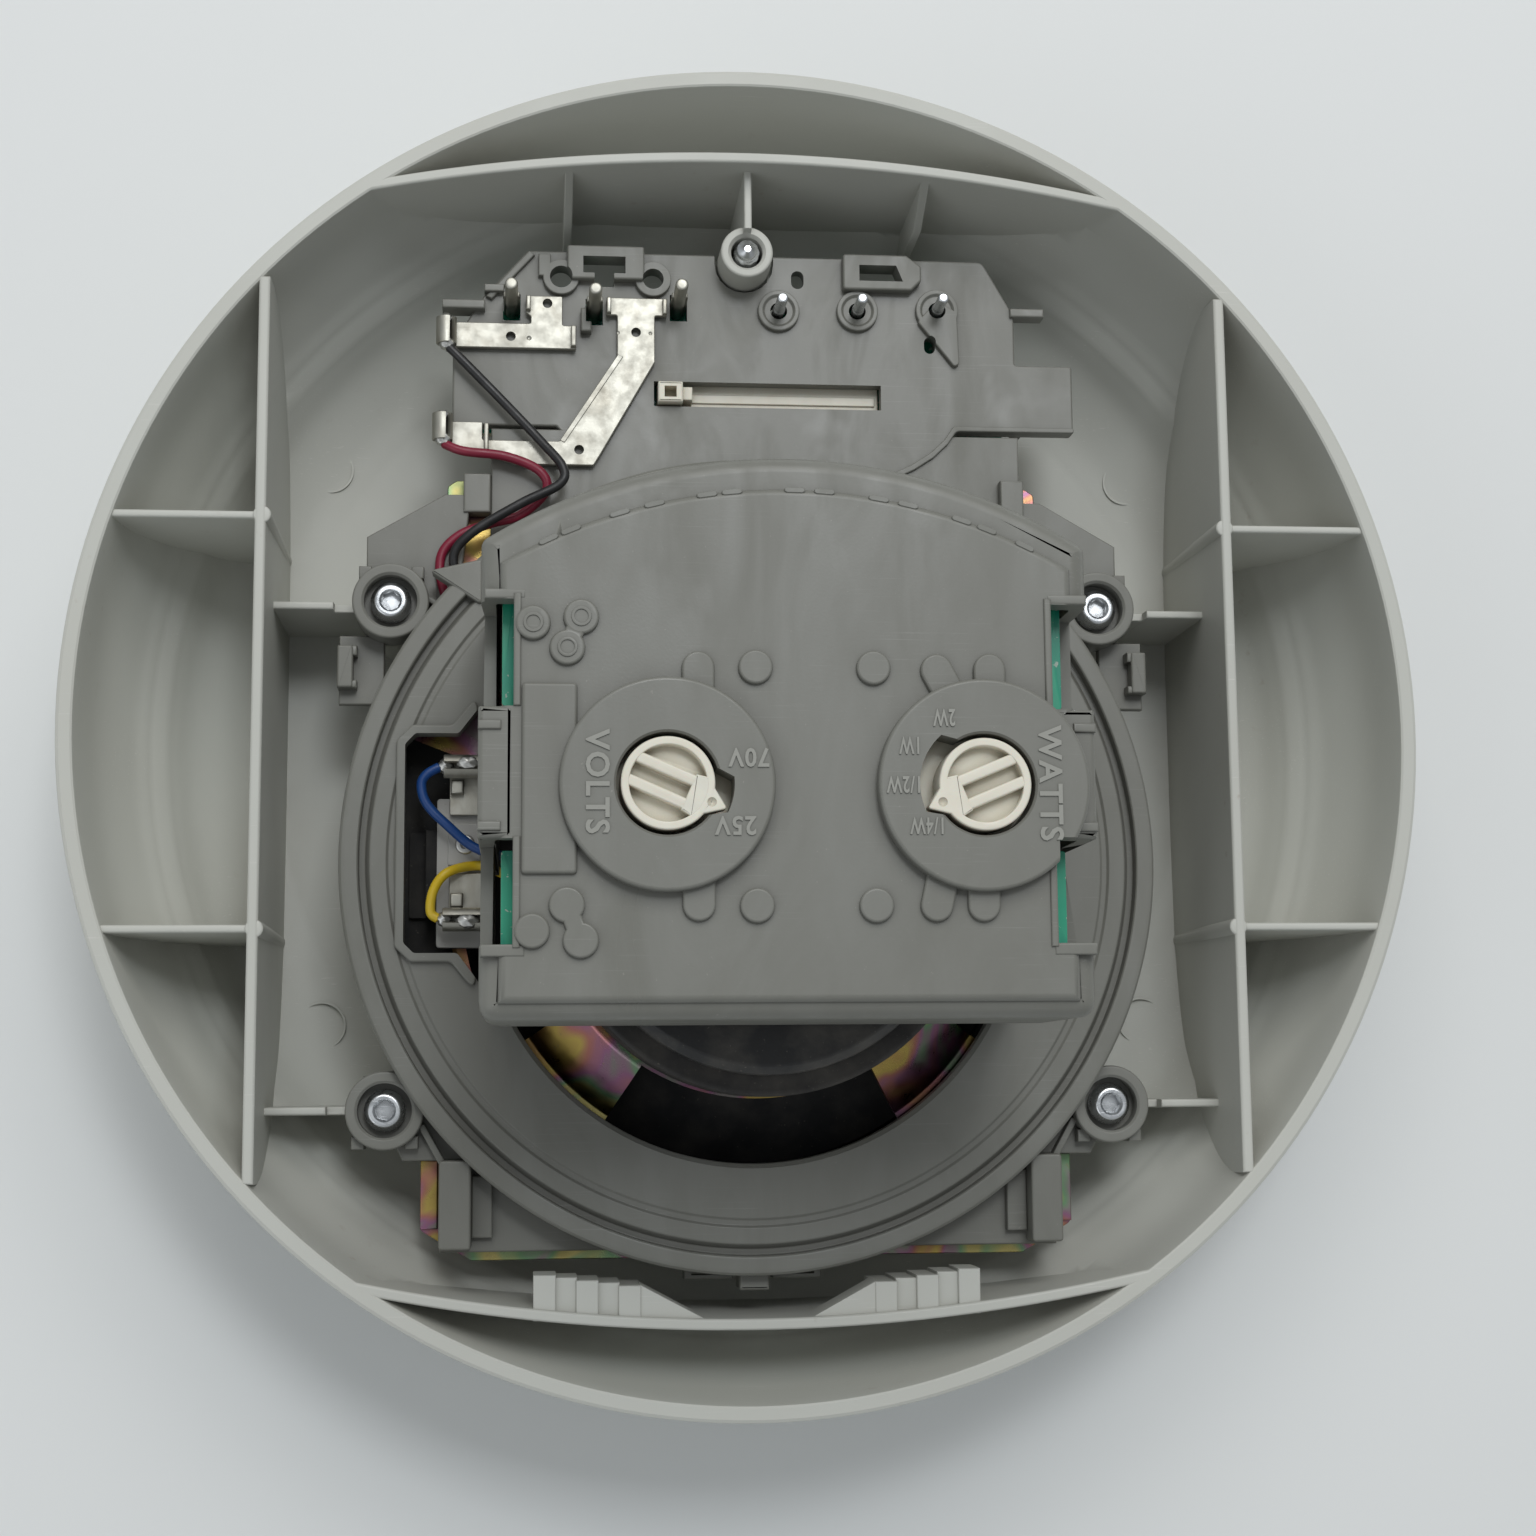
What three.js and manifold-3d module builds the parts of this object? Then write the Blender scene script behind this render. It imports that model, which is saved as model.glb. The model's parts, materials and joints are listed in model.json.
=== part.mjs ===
// Ceiling speaker strobe for a fire alarm, seen from its back.
// Millimetres. +Z points to the ceiling, and the flat back of the cover's rim is z = 0, with the origin on
// the rim's axis. The front face, its grille and its strobe lens look down, along -Z.

import * as THREE from 'three';
import { mergeVertices } from 'three/addons/utils/BufferGeometryUtils.js';
import Module from 'manifold-3d';

const wasm = await Module();
wasm.setup();

// ---------------------------------------------------------------- driving dimensions

const GAP = 0.3;                       // air between pieces that touch

const RIM = { outer: 86.5, inner: 84.3, segments: 48 };
const FLOOR = { back: -28, front: -31, flat: 62 };
const WALL = { thick: 1.4, half: 62.06, arch: 235, top: 74.6, ribs: 26, inset: 0.4 };

const SPEAKER = { x: 0, y: -21 };      // axis of the loudspeaker
const CHASSIS = { y: -17, flange: 52.1, step: 49.6, deck: -4, under: -6.5, foot: -11.5, opening: 34.3 };
const SCREWS = [[-46.1, 16.35], [46.1, 16.35], [-46.1, -48.3], [46.1, -48.3]];
const BOSS = { outer: 4.9, inner: 3.7, top: -5.9, seat: -8.5 };
const SCREW = { head: 2.6, height: 2.3, shank: 1.45, length: 12, socket: 1.25 };
const POST = { outer: 3.6, bore: 1.85 };

const MODULE = { top: -10, thick: 2, skirt: 4.6 };
// The line contacts' upright pins, and the round pins that feed the strobe.
const CONTACTS = [[-30.9, 57], [-20, 56.6], [-8.8, 57.4]];
const GUIDES = [[4.6, 57.1], [15.2, 57.3], [26, 57.6]];
const SLOT = { x0: -12.1, x1: 18.3, y0: 43.8, y1: 47.2 };
const SLIDER = { length: 3.3, width: 2.8, top: -8.7, barTop: -12.4 };
const HOUSING = {
  half: 33.7, bottom: -38.7, arch: 62.3, archY: -38.5, top: 41.2, base: -3.4, wall: 1.6,
};
const DIAL = { disc: 11.1, top: 43.2, hole: 5.6, pocket: 7.2, y: -13.4 };
const KNOB = { radius: 4.8, top: 43.4, tip: 6.75, shaft: 1.5, foot: 36.6, flange: 8, under: 37.9, groove: 3.8 };
// Each knob's place, the angle that its pointer rests at and how far it turns, in degrees.
const DIALS = [
  { name: 'volts', x: -13.5, start: -23.7, travel: 27 },
  { name: 'watts', x: 21.1, start: 202.8, travel: -69 },
];
const BOARD = { top: 36, thick: 1.6, half: 31.4 };

const MAGNET = { radius: 26, bottom: 2.8, top: 12.8, bore: 12.5 };
const YOKE = { radius: 23.5, top: 16.6, pole: 9 };
const FRAME = { front: -13.2, back: -12.2, hole: 40 };
const CONE = { neck: 10.3, edge: 34.6, neckZ: -6.6, edgeZ: -14.4, thick: 0.6 };

const PILLAR = { x: 0, y: 63.6, outer: 3.45, bore: 2.1, top: -5 };
const LENS = { x: 17, low: 37.5, high: 54.5, lift: 46, front: -34.4, lip: 2.4, wall: 1.8 };
const GRILLE = { rows: 7, pitch: 5.2, slot: 2.3, radius: 40, spine: 0.8 };
const BAFFLE = { inner: 44.5, outer: 46.3, top: -15.9 };
const RIB = 0.6;                       // half the thickness of the cover's ribs
const CORE = { half: 12, y0: 5, y1: 14, z0: 16.5, z1: 33.9, yoke: 3.4 };
const WIRE = 0.6;                      // radius of the hook-up wires

const COLOUR = {
  cover: 0xc4bfb7, chassis: 0x7d7c76, ivory: 0xe3dfcd, board: 0x14946b, nickel: 0xcfcdbf, zinc: 0xb99a4e,
  steel: 0xb4b8bb, ferrite: 0x1d1b1a, paper: 0x17171a, copper: 0x9a4a24, lamination: 0x4b4d50, film: 0xb8862d,
  foam: 0x2b2b2c, clear: 0xdfe8ea, fibre: 0xb9b8b1, sleeve: 0x22252c, black: 0x141416, red: 0x83182c,
  blue: 0x1f4fa3, yellow: 0xd8b21e, mesh: 0x2a2a2b,
};

// ---------------------------------------------------------------- tools

// A closed geometry as a solid that can be joined and cut.
function solid(geometry) {
  const plain = geometry.clone();
  plain.deleteAttribute('normal');
  plain.deleteAttribute('uv');
  const merged = mergeVertices(plain, 1e-4);
  const corners = merged.index.array;
  const kept = [];
  for (let i = 0; i < corners.length; i += 3) {
    const [a, b, c] = [corners[i], corners[i + 1], corners[i + 2]];
    if (a !== b && b !== c && c !== a) kept.push(a, b, c);
  }
  return new wasm.Manifold(new wasm.Mesh({
    numProp: 3,
    vertProperties: new Float32Array(merged.attributes.position.array),
    triVerts: new Uint32Array(kept),
  }));
}

function join(...solids) {
  return solids.reduce((sum, next) => sum.add(next));
}

function cut(body, ...tools) {
  return tools.reduce((rest, tool) => rest.subtract(tool), body);
}

function shapeOf(points) {
  return new THREE.Shape(points.map(([x, y]) => new THREE.Vector2(x, y)));
}

// A flat outline raised from z0 to z1.
function raise(shape, z0, z1, curveSegments = 12) {
  const geometry = new THREE.ExtrudeGeometry(shape, { depth: z1 - z0, bevelEnabled: false, curveSegments });
  geometry.translate(0, 0, z0);
  return solid(geometry);
}

function box(x0, x1, y0, y1, z0, z1) {
  const geometry = new THREE.BoxGeometry(x1 - x0, y1 - y0, z1 - z0);
  geometry.translate((x0 + x1) / 2, (y0 + y1) / 2, (z0 + z1) / 2);
  return solid(geometry);
}

// An upright cylinder at (x, y).
function pin(x, y, radius, z0, z1, segments = 14) {
  const geometry = new THREE.CylinderGeometry(radius, radius, z1 - z0, segments);
  geometry.rotateX(Math.PI / 2);
  geometry.translate(x, y, (z0 + z1) / 2);
  return solid(geometry);
}

// A profile of [radius, z] points turned about an upright axis at (x, y).
// It is given anticlockwise, with radius to the right and z up, and a ring's profile is closed here.
function turn(profile, { x = 0, y = 0, segments = 28 } = {}) {
  const points = profile.map(([r, z]) => new THREE.Vector2(r, z));
  if (profile[0][0] > 0) points.push(points[0].clone());
  const geometry = new THREE.LatheGeometry(points, segments);
  geometry.rotateX(Math.PI / 2);
  geometry.translate(x, y, 0);
  return solid(geometry);
}

function ring(x, y, inner, outer, z0, z1, segments = 28) {
  return turn([[inner, z0], [outer, z0], [outer, z1], [inner, z1]], { x, y, segments });
}

// A bar with round ends between two points.
function pill([x0, y0], [x1, y1], radius, z0, z1, segments = 8) {
  const along = Math.atan2(y1 - y0, x1 - x0);
  const shape = new THREE.Shape();
  shape.absarc(x1, y1, radius, along - Math.PI / 2, along + Math.PI / 2, false);
  shape.absarc(x0, y0, radius, along + Math.PI / 2, along + (3 * Math.PI) / 2, false);
  return raise(shape, z0, z1, segments / 2);
}

// A round wire along hand-placed points.
function wire(points, radius, steps, sides = 8) {
  const path = new THREE.CatmullRomCurve3(points.map((p) => new THREE.Vector3(...p)), false, 'centripetal');
  const section = new THREE.Shape();
  for (let i = 0; i < sides; i += 1) {
    const angle = (2 * Math.PI * i) / sides;
    const corner = [radius * Math.cos(angle), radius * Math.sin(angle)];
    if (i === 0) section.moveTo(...corner);
    else section.lineTo(...corner);
  }
  return solid(new THREE.ExtrudeGeometry(section, { steps, extrudePath: path, bevelEnabled: false }));
}

// A sector of a circle, for a pocket or a window.
function sector(x, y, inner, outer, from, to, z0, z1, segments = 8) {
  const shape = new THREE.Shape();
  shape.absarc(x, y, outer, from, to, false);
  shape.absarc(x, y, inner, to, from, true);
  return raise(shape, z0, z1, segments);
}

const part = new THREE.Group();

function add(name, body, color, roughness, metalness = 0) {
  const mesh = body.getMesh();
  const geometry = new THREE.BufferGeometry();
  geometry.setAttribute('position', new THREE.BufferAttribute(mesh.vertProperties, 3));
  geometry.setIndex(new THREE.BufferAttribute(mesh.triVerts, 1));
  const look = new THREE.MeshStandardMaterial({ color, roughness, metalness, name: `${name}_look` });
  const piece = new THREE.Mesh(geometry, look);
  piece.name = name;
  part.add(piece);
}

const degrees = Math.PI / 180;

// ---------------------------------------------------------------- front cover

// The bowl's inside and outside, from the rim down to the flat front.
const bowlInside = [
  [RIM.inner, 0], [82.8, -9], [78.6, -18], [72.5, -24.5], [67, -27.2], [FLOOR.flat, FLOOR.back],
];
const bowlOutside = [
  [RIM.outer, 0], [85.1, -9.4], [80.7, -19.4], [74.4, -26.6], [67.8, -30.1], [FLOOR.flat, FLOOR.front],
];

function bowl(profile, centre, lift) {
  const [top] = profile;
  const points = [[0, centre], ...[...profile].reverse(), [top[0], lift], [0, lift]];
  return turn(points, { segments: RIM.segments });
}

// Straight and arched walls that stand on the bowl's floor, with a slight draft.
function coverWalls() {
  const walls = [];
  const half = WALL.thick / 2;
  for (const side of [-1, 1]) {
    const section = shapeOf([
      [side * WALL.half - half, 0], [side * WALL.half + half, 0],
      [side * WALL.half + half + 0.5, FLOOR.front], [side * WALL.half - half - 0.5, FLOOR.front],
    ]);
    const wall = new THREE.ExtrudeGeometry(section, { depth: 114, bevelEnabled: false });
    wall.rotateX(Math.PI / 2);
    wall.translate(0, 57, 0);
    walls.push(solid(wall));
    for (const y of [-WALL.ribs, WALL.ribs]) {
      const near = side * (WALL.half - half);
      const far = side * RIM.inner;
      walls.push(box(Math.min(near, far), Math.max(near, far), y - RIB, y + RIB, FLOOR.front, -WALL.inset));
      walls.push(pin(near + side * RIB, y, 2 * RIB, FLOOR.front, -0.1, 12));
    }
    // arched wall across the top and the bottom of the bowl
    const centre = side * (WALL.top - WALL.arch);
    const reach = Math.asin(48 / WALL.arch);
    const middle = side * (Math.PI / 2);
    walls.push(sector(0, centre, WALL.arch - half, WALL.arch + half, middle - reach, middle + reach,
      FLOOR.front, 0, 10));
  }
  return join(...walls);
}

// Ribs, screw posts and the loudspeaker's baffle ring inside the cover.
function coverFittings() {
  const pieces = [];
  for (const [x, y] of SCREWS) {
    const seat = CHASSIS.foot - GAP;
    pieces.push(pin(x, y, POST.outer, FLOOR.front, seat));
    // a rib from the post to the side wall, low under the chassis and higher beyond it
    const wall = Math.sign(x) * WALL.half;
    pieces.push(box(Math.min(x, wall), Math.max(x, wall), y - RIB, y + RIB, FLOOR.front, seat));
    const end = x + Math.sign(x) * (BOSS.outer + 2.6);
    pieces.push(box(Math.min(end, wall), Math.max(end, wall), y - RIB, y + RIB, FLOOR.front, -9.6));
  }
  pieces.push(ring(SPEAKER.x, SPEAKER.y, BAFFLE.inner, BAFFLE.outer, FLOOR.front, BAFFLE.top, 36));
  pieces.push(pin(PILLAR.x, PILLAR.y, PILLAR.outer, FLOOR.front, PILLAR.top));
  pieces.push(box(-RIB, RIB, PILLAR.y + 2, 76, FLOOR.front, -3.2));
  for (const side of [-1, 1]) {
    pieces.push(box(side * 23.5 - RIB, side * 23.5 + RIB, 68.4, 74, FLOOR.front, -1.6));
    // finger blocks on the bottom wall: a stair of five treads that runs out to a point
    for (let tread = 0; tread < 5; tread += 1) {
      const outer = side * (27.6 - 2.6 * tread);
      const inner = side * (27.6 - 2.6 * (tread + 1));
      pieces.push(box(Math.min(outer, inner), Math.max(outer, inner),
        -73.6, -68.3 - 0.35 * tread, -7 - tread, -0.4 - 0.9 * (tread % 2)));
    }
    const point = [[side * 14.6, -73.9], [side * 6.8, -73.9], [side * 14.6, -69.6]];
    pieces.push(raise(shapeOf(point), -6, -1.4));
  }
  return join(...pieces);
}

// Grille bars in front of the loudspeaker, and the lens window.
function coverOpenings() {
  const tools = [];
  const { rows, pitch, slot, radius, spine } = GRILLE;
  for (let row = -rows; row <= rows; row += 1) {
    const y = SPEAKER.y + row * pitch;
    const half = Math.sqrt(radius ** 2 - (row * pitch) ** 2);
    for (const [x0, x1] of [[-half, -spine], [spine, half]]) {
      tools.push(box(x0, x1, y - slot / 2, y + slot / 2, FLOOR.front - 1, FLOOR.back + 0.2));
    }
  }
  tools.push(box(-LENS.x, LENS.x, LENS.low, LENS.high, FLOOR.front - 3, FLOOR.back + 1));
  for (const [x, y] of SCREWS) tools.push(pin(x, y, POST.bore, -25.5, 0));
  tools.push(pin(PILLAR.x, PILLAR.y, PILLAR.bore, FLOOR.front - 1, 0));
  tools.push(pin(PILLAR.x, PILLAR.y, 4.3, FLOOR.front - 1, -25.5));
  return tools;
}

const bowlBody = bowl(bowlOutside, FLOOR.front, 0);
const bowlHollow = bowl(bowlInside, FLOOR.back, 5);
const bowlTrim = bowlBody.subtract(ring(0, 0, 85.2, 100, -40, 5, RIM.segments));
const fitted = join(coverWalls(), coverFittings()).intersect(bowlTrim);
const pillarFoot = pin(PILLAR.x, PILLAR.y, 6, FLOOR.front + 0.4, -23).intersect(bowlBody);
const coverShell = join(bowlBody.subtract(bowlHollow), fitted, pillarFoot);
add('front_cover', cut(coverShell, ...coverOpenings()), COLOUR.cover, 0.55);

add('dust_screen', pin(SPEAKER.x, SPEAKER.y, 41, FLOOR.back + GAP, FLOOR.back + GAP + 0.5, 36),
  COLOUR.mesh, 0.9);

// ---------------------------------------------------------------- strobe

// A block that is smaller than the lens window by an inset all round.
function lensBlock(inset, z0, z1) {
  return box(-LENS.x + inset, LENS.x - inset, LENS.low + inset, LENS.high - inset, z0, z1);
}

const lensFlange = lensBlock(-LENS.lip, FLOOR.back + GAP, FLOOR.back + 1.5);
const lensBody = lensBlock(GAP, LENS.front, FLOOR.back + 1);
const lensHollow = lensBlock(LENS.wall, LENS.front + 1.6, FLOOR.back + 3);
add('strobe_lens', cut(join(lensFlange, lensBody), lensHollow), COLOUR.clear, 0.08);

const bowlPan = box(-15, 15, LENS.lift - 7, LENS.lift + 7, -26.2, -18.2);
const panHollow = box(-13.8, 13.8, LENS.lift - 5.8, LENS.lift + 5.8, -28, -19.2);
const tubeNotch = box(-16, 16, LENS.lift - 1.6, LENS.lift + 1.6, -28, -21);
add('strobe_reflector', cut(bowlPan, panHollow, tubeNotch), COLOUR.steel, 0.18, 1);

const flashTube = new THREE.CapsuleGeometry(1.2, 22, 4, 12);
flashTube.rotateZ(Math.PI / 2);
flashTube.translate(0, LENS.lift, -23);
add('flash_tube', solid(flashTube), COLOUR.clear, 0.05);

const canLength = 17;
const flashCan = new THREE.CylinderGeometry(4.6, 4.6, canLength, 24);
flashCan.translate(-24.5, LENS.lift, -21.6);
add('flash_capacitor', solid(flashCan), COLOUR.sleeve, 0.45);

const strobeBoard = raise(shapeOf([
  [-35.5, 41], [35.5, 41], [35.5, 55], [30, 61.5], [5, 61.5], [5, 57], [-5, 57], [-5, 61.5], [-29, 61.5],
  [-35.5, 54],
]), -16.3, -14.7);
add('strobe_board', strobeBoard, COLOUR.board, 0.4);

// ---------------------------------------------------------------- loudspeaker

const frameOutline = raise(shapeOf([
  [-35.4, -67.2], [35.4, -67.2], [41.8, -63.4], [41.8, -50], [44.4, -40], [44.4, 8], [39.2, 24], [39.2, 33],
  [38, 33.8], [-38, 33.8], [-39.2, 33], [-39.2, 24], [-44.4, 8], [-44.4, -40], [-41.8, -50], [-41.8, -63.4],
]), FRAME.front, FRAME.back);
const frameHole = pin(SPEAKER.x, SPEAKER.y, FRAME.hole, FRAME.front - 1, FRAME.back + 1, 36);
const basketProfile = [
  [FRAME.hole - 1.6, FRAME.front], [FRAME.hole + 1, FRAME.front], [FRAME.hole + 1, FRAME.back],
  [FRAME.hole - 1.1, FRAME.back], [37, -10.2], [26.6, -2.3], [16, -2.3], [16, -3.2], [26.2, -3.2], [36.4, -11],
];
const basket = turn(basketProfile, { x: SPEAKER.x, y: SPEAKER.y, segments: 36 });
const basketWindows = [0, 1, 2, 3].map((quarter) => {
  const middle = (quarter * Math.PI) / 2;
  return sector(SPEAKER.x, SPEAKER.y, 27.2, 36.6, middle - 33 * degrees, middle + 33 * degrees, -11.6, 0, 6);
});
const speakerFrame = cut(join(cut(frameOutline, frameHole), basket), ...basketWindows);
add('speaker_frame', speakerFrame, COLOUR.zinc, 0.35, 1);

const at = { x: SPEAKER.x, y: SPEAKER.y };
const topPlate = ring(at.x, at.y, YOKE.pole + 1.4, MAGNET.radius - 2, -2, MAGNET.bottom - GAP);
add('top_plate', topPlate, COLOUR.steel, 0.4, 1);
const magnet = ring(at.x, at.y, MAGNET.bore, MAGNET.radius, MAGNET.bottom, MAGNET.top);
add('magnet', magnet, COLOUR.ferrite, 0.7);
const yokeFoot = MAGNET.top + GAP;
add('yoke', turn([
  [0, -2], [YOKE.pole, -2], [YOKE.pole, yokeFoot], [YOKE.radius, yokeFoot], [YOKE.radius, YOKE.top - 0.8],
  [YOKE.radius - 0.8, YOKE.top], [0, YOKE.top],
], at), COLOUR.ferrite, 0.5, 0.6);
add('voice_coil', ring(at.x, at.y, YOKE.pole + 0.4, YOKE.pole + 0.9, -6.3, 1.2), COLOUR.copper, 0.5, 0.6);

// The spider is a flat fabric ring that centres the voice coil.
add('spider', ring(at.x, at.y, 10.4, 23, -4.6, -3.8), COLOUR.film, 0.9);

add('cone', turn([
  [CONE.neck, CONE.neckZ - CONE.thick], [CONE.edge, CONE.edgeZ - CONE.thick], [CONE.edge, CONE.edgeZ],
  [CONE.neck, CONE.neckZ],
], at), COLOUR.paper, 0.9);
add('dust_cap', turn([
  [0, -11.4], [6.6, -10.5], [11.6, -8.1], [11, -7.9], [6.4, -9.9], [0, -10.8],
], { ...at, segments: 20 }), COLOUR.paper, 0.8);
add('surround', turn([
  [35, -14.6], [37.6, -16.5], [40.2, -14.1], [44, -14.1], [44, -13.5], [39.8, -13.5], [37.6, -15.9],
  [35.2, -14],
], at), COLOUR.foam, 0.9);
add('gasket', ring(at.x, at.y, 41.2, 46.2, -15.6, -14.4), COLOUR.foam, 0.95);

const strip = box(-40, -33.6, -28, -9, -8.9, -7.7);
const stripFoot = box(-43.6, -40.6, -24, -13, -11.9, -11.1);
const stripRiser = box(-41.4, -40, -24, -13, -11.9, -7.7);
add('terminal_strip', join(strip, stripFoot, stripRiser), COLOUR.fibre, 0.6);

// Solder lugs: a rolled tongue on each end of the terminal strip.
for (const [name, y] of [['positive_lug', -5.2], ['negative_lug', -24.6]]) {
  const roll = new THREE.CylinderGeometry(1.5, 1.5, 5, 16);
  roll.rotateZ(Math.PI / 2);
  roll.translate(-36.6, y, -4.9);
  const bore = new THREE.CylinderGeometry(0.8, 0.8, 3, 12);
  bore.rotateZ(Math.PI / 2);
  bore.translate(-38.6, y, -4.9);
  const inward = y > SPEAKER.y + 10 ? -1 : 1;
  const tongue = box(-38.4, -34.2, Math.min(y, y + inward * 6), Math.max(y, y + inward * 6), -7.4, -6.8);
  const web = box(-38.4, -34.2, y - 0.4, y + 0.4, -7.4, -5.5);
  add(name, cut(join(solid(roll), tongue, web), solid(bore)), COLOUR.nickel, 0.25, 1);
}

// ---------------------------------------------------------------- rear chassis

// Outline of the contact module at the chassis' upper end.
const moduleOutline = shapeOf([
  [-38.6, 40.8], [-38.6, 52], [-34.6, 58.4], [-28.8, 64.8], [32.4, 64.8], [36.6, 57.4], [36.6, 50.4],
  [44.4, 50.4], [44.4, 41], [28.1, 41], [25.4, 37.6], [19.7, 33.9], [-22, 33.9], [-22, 38.2], [-25, 40.8],
]);

function chassisPlates() {
  const z0 = CHASSIS.foot;
  const pieces = [
    // cup over the loudspeaker: outer bead, groove and deck
    turn([
      [30, CHASSIS.under], [47.4, CHASSIS.under], [47.4, z0], [CHASSIS.flange, z0],
      [CHASSIS.flange, CHASSIS.deck - 0.4], [CHASSIS.flange - 0.8, CHASSIS.deck + 0.5],
      [CHASSIS.step + 0.6, CHASSIS.deck + 0.5], [CHASSIS.step, CHASSIS.deck - 1.2],
      [CHASSIS.step - 1, CHASSIS.deck - 1.2], [CHASSIS.step - 1.6, CHASSIS.deck], [30, CHASSIS.deck],
    ], { x: 0, y: CHASSIS.y, segments: 48 }),
    // lower keeper plate and the module's bridge
    cut(raise(shapeOf([[-39.3, -66], [39.3, -66], [39.3, -44], [-39.3, -44]]), z0, -9.5),
      pin(0, CHASSIS.y, 49, z0 - 1, 0, 24)),
    cut(raise(shapeOf([[-33.5, 26], [33.5, 26], [36.8, 30], [36.8, 40.4], [-33.5, 40.4]]), z0, MODULE.top),
      pin(0, CHASSIS.y, 49, z0 - 1, 0, 24)),
  ];
  for (const side of [-1, 1]) {
    // keeper column, snap hook with its foot, and the two gussets under the bosses
    pieces.push(box(side * 37.3 - 2, side * 37.3 + 2, -65.5, -54.5, z0, -5.2));
    pieces.push(box(side * 51.9 - 1, side * 51.9 + 1, 5.4, 10.9, -13.8, -8));
    pieces.push(box(side * 49.9 - 2.9, side * 49.9 + 2.9, 3.5, 12.5, z0, -10.2));
    pieces.push(cut(raise(shapeOf([
      [side * 49.4, 25.4], [side * 39.4, 31.2], [side * 36, 31.2], [side * 38, 14], [side * 49.4, 12.5],
    ]), z0, -9.2), pin(0, CHASSIS.y, 49, z0 - 1, 0, 24)));
    pieces.push(cut(raise(shapeOf([
      [side * 49, -44], [side * 44, -54.6], [side * 36, -54.6], [side * 38, -42],
    ]), z0, -9.2), pin(0, CHASSIS.y, 49, z0 - 1, 0, 24)));
  }
  for (const [x, y] of SCREWS) {
    pieces.push(pin(x, y, BOSS.outer, z0, BOSS.top, 18));
    const inward = Math.sign(x);
    // a short rib from the boss to the flange
    const start = x - inward * 3.5;
    const end = x - inward * 8;
    const drop = Math.sign(y) * 3;
    const rib = shapeOf([[start, y - 1], [end, y - 1 - drop], [end, y + 1 - drop], [start, y + 1]]);
    pieces.push(raise(rib, z0, -6.8));
  }
  // the tongue at the lower end and the arrow beside the upper left boss
  pieces.push(box(-1.9, 1.9, -71, -66, z0, -6.2));
  pieces.push(raise(shapeOf([[-41.2, 19.8], [-34.4, 15.4], [-34.4, 21.4]]), -5.4, -3.6));
  return join(...pieces);
}

function chassisModule() {
  const top = MODULE.top;
  const plate = raise(moduleOutline, top - MODULE.thick, top);
  const pieces = [plate];
  // raised frames round the two board windows
  pieces.push(box(-23.6, -13.4, 60.6, 65.2, top - 1, top + 1.6));
  const rightFrame = shapeOf([[13.2, 60], [22.4, 60], [23.8, 61.4], [23.8, 63.4], [21.8, 64.9], [13.2, 64.9]]);
  pieces.push(raise(rightFrame, top - 1, top + 1.6));
  // collars of the round holes and the guide pins
  pieces.push(pin(-24.4, 61, 2.3, top - 1, top + 0.8), pin(-12.2, 61, 2.3, top - 1, top + 0.8));
  pieces.push(pin(4.6, 57.1, 2.8, top - 1, top + 0.8), pin(15.1, 57.3, 2.8, top - 1, top + 0.8));
  pieces.push(pin(25.8, 57.4, 2.8, top - 1, top + 0.8));
  pieces.push(raise(shapeOf([[23.3, 56], [28.4, 50], [28.6, 57.4], [26, 59]]), top - 1, top + 0.8));
  // lugs that hold the contact plates
  pieces.push(box(-40, -34.4, 56.2, 57.4, top - 2, top + 1.5));
  pieces.push(box(-21.8, -20.2, 53.4, 56.6, top - 1, top + 1.6));
  pieces.push(box(36, 40.6, 57, 58.2, top - 2, top + 0.6));
  // skirts that stand down round the strobe board
  pieces.push(box(-38.2, -36.8, 42, 54.4, top - 2 - MODULE.skirt, top - 1));
  pieces.push(box(36.9, 38.3, 42, 50, top - 2 - MODULE.skirt, top - 1));
  // wire columns beside the loudspeaker frame
  pieces.push(box(-37, -33.5, 28.8, 34, CHASSIS.foot, -8.8), box(33.9, 37, 26.5, 34, CHASSIS.foot, -8.2));
  return join(...pieces);
}

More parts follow.
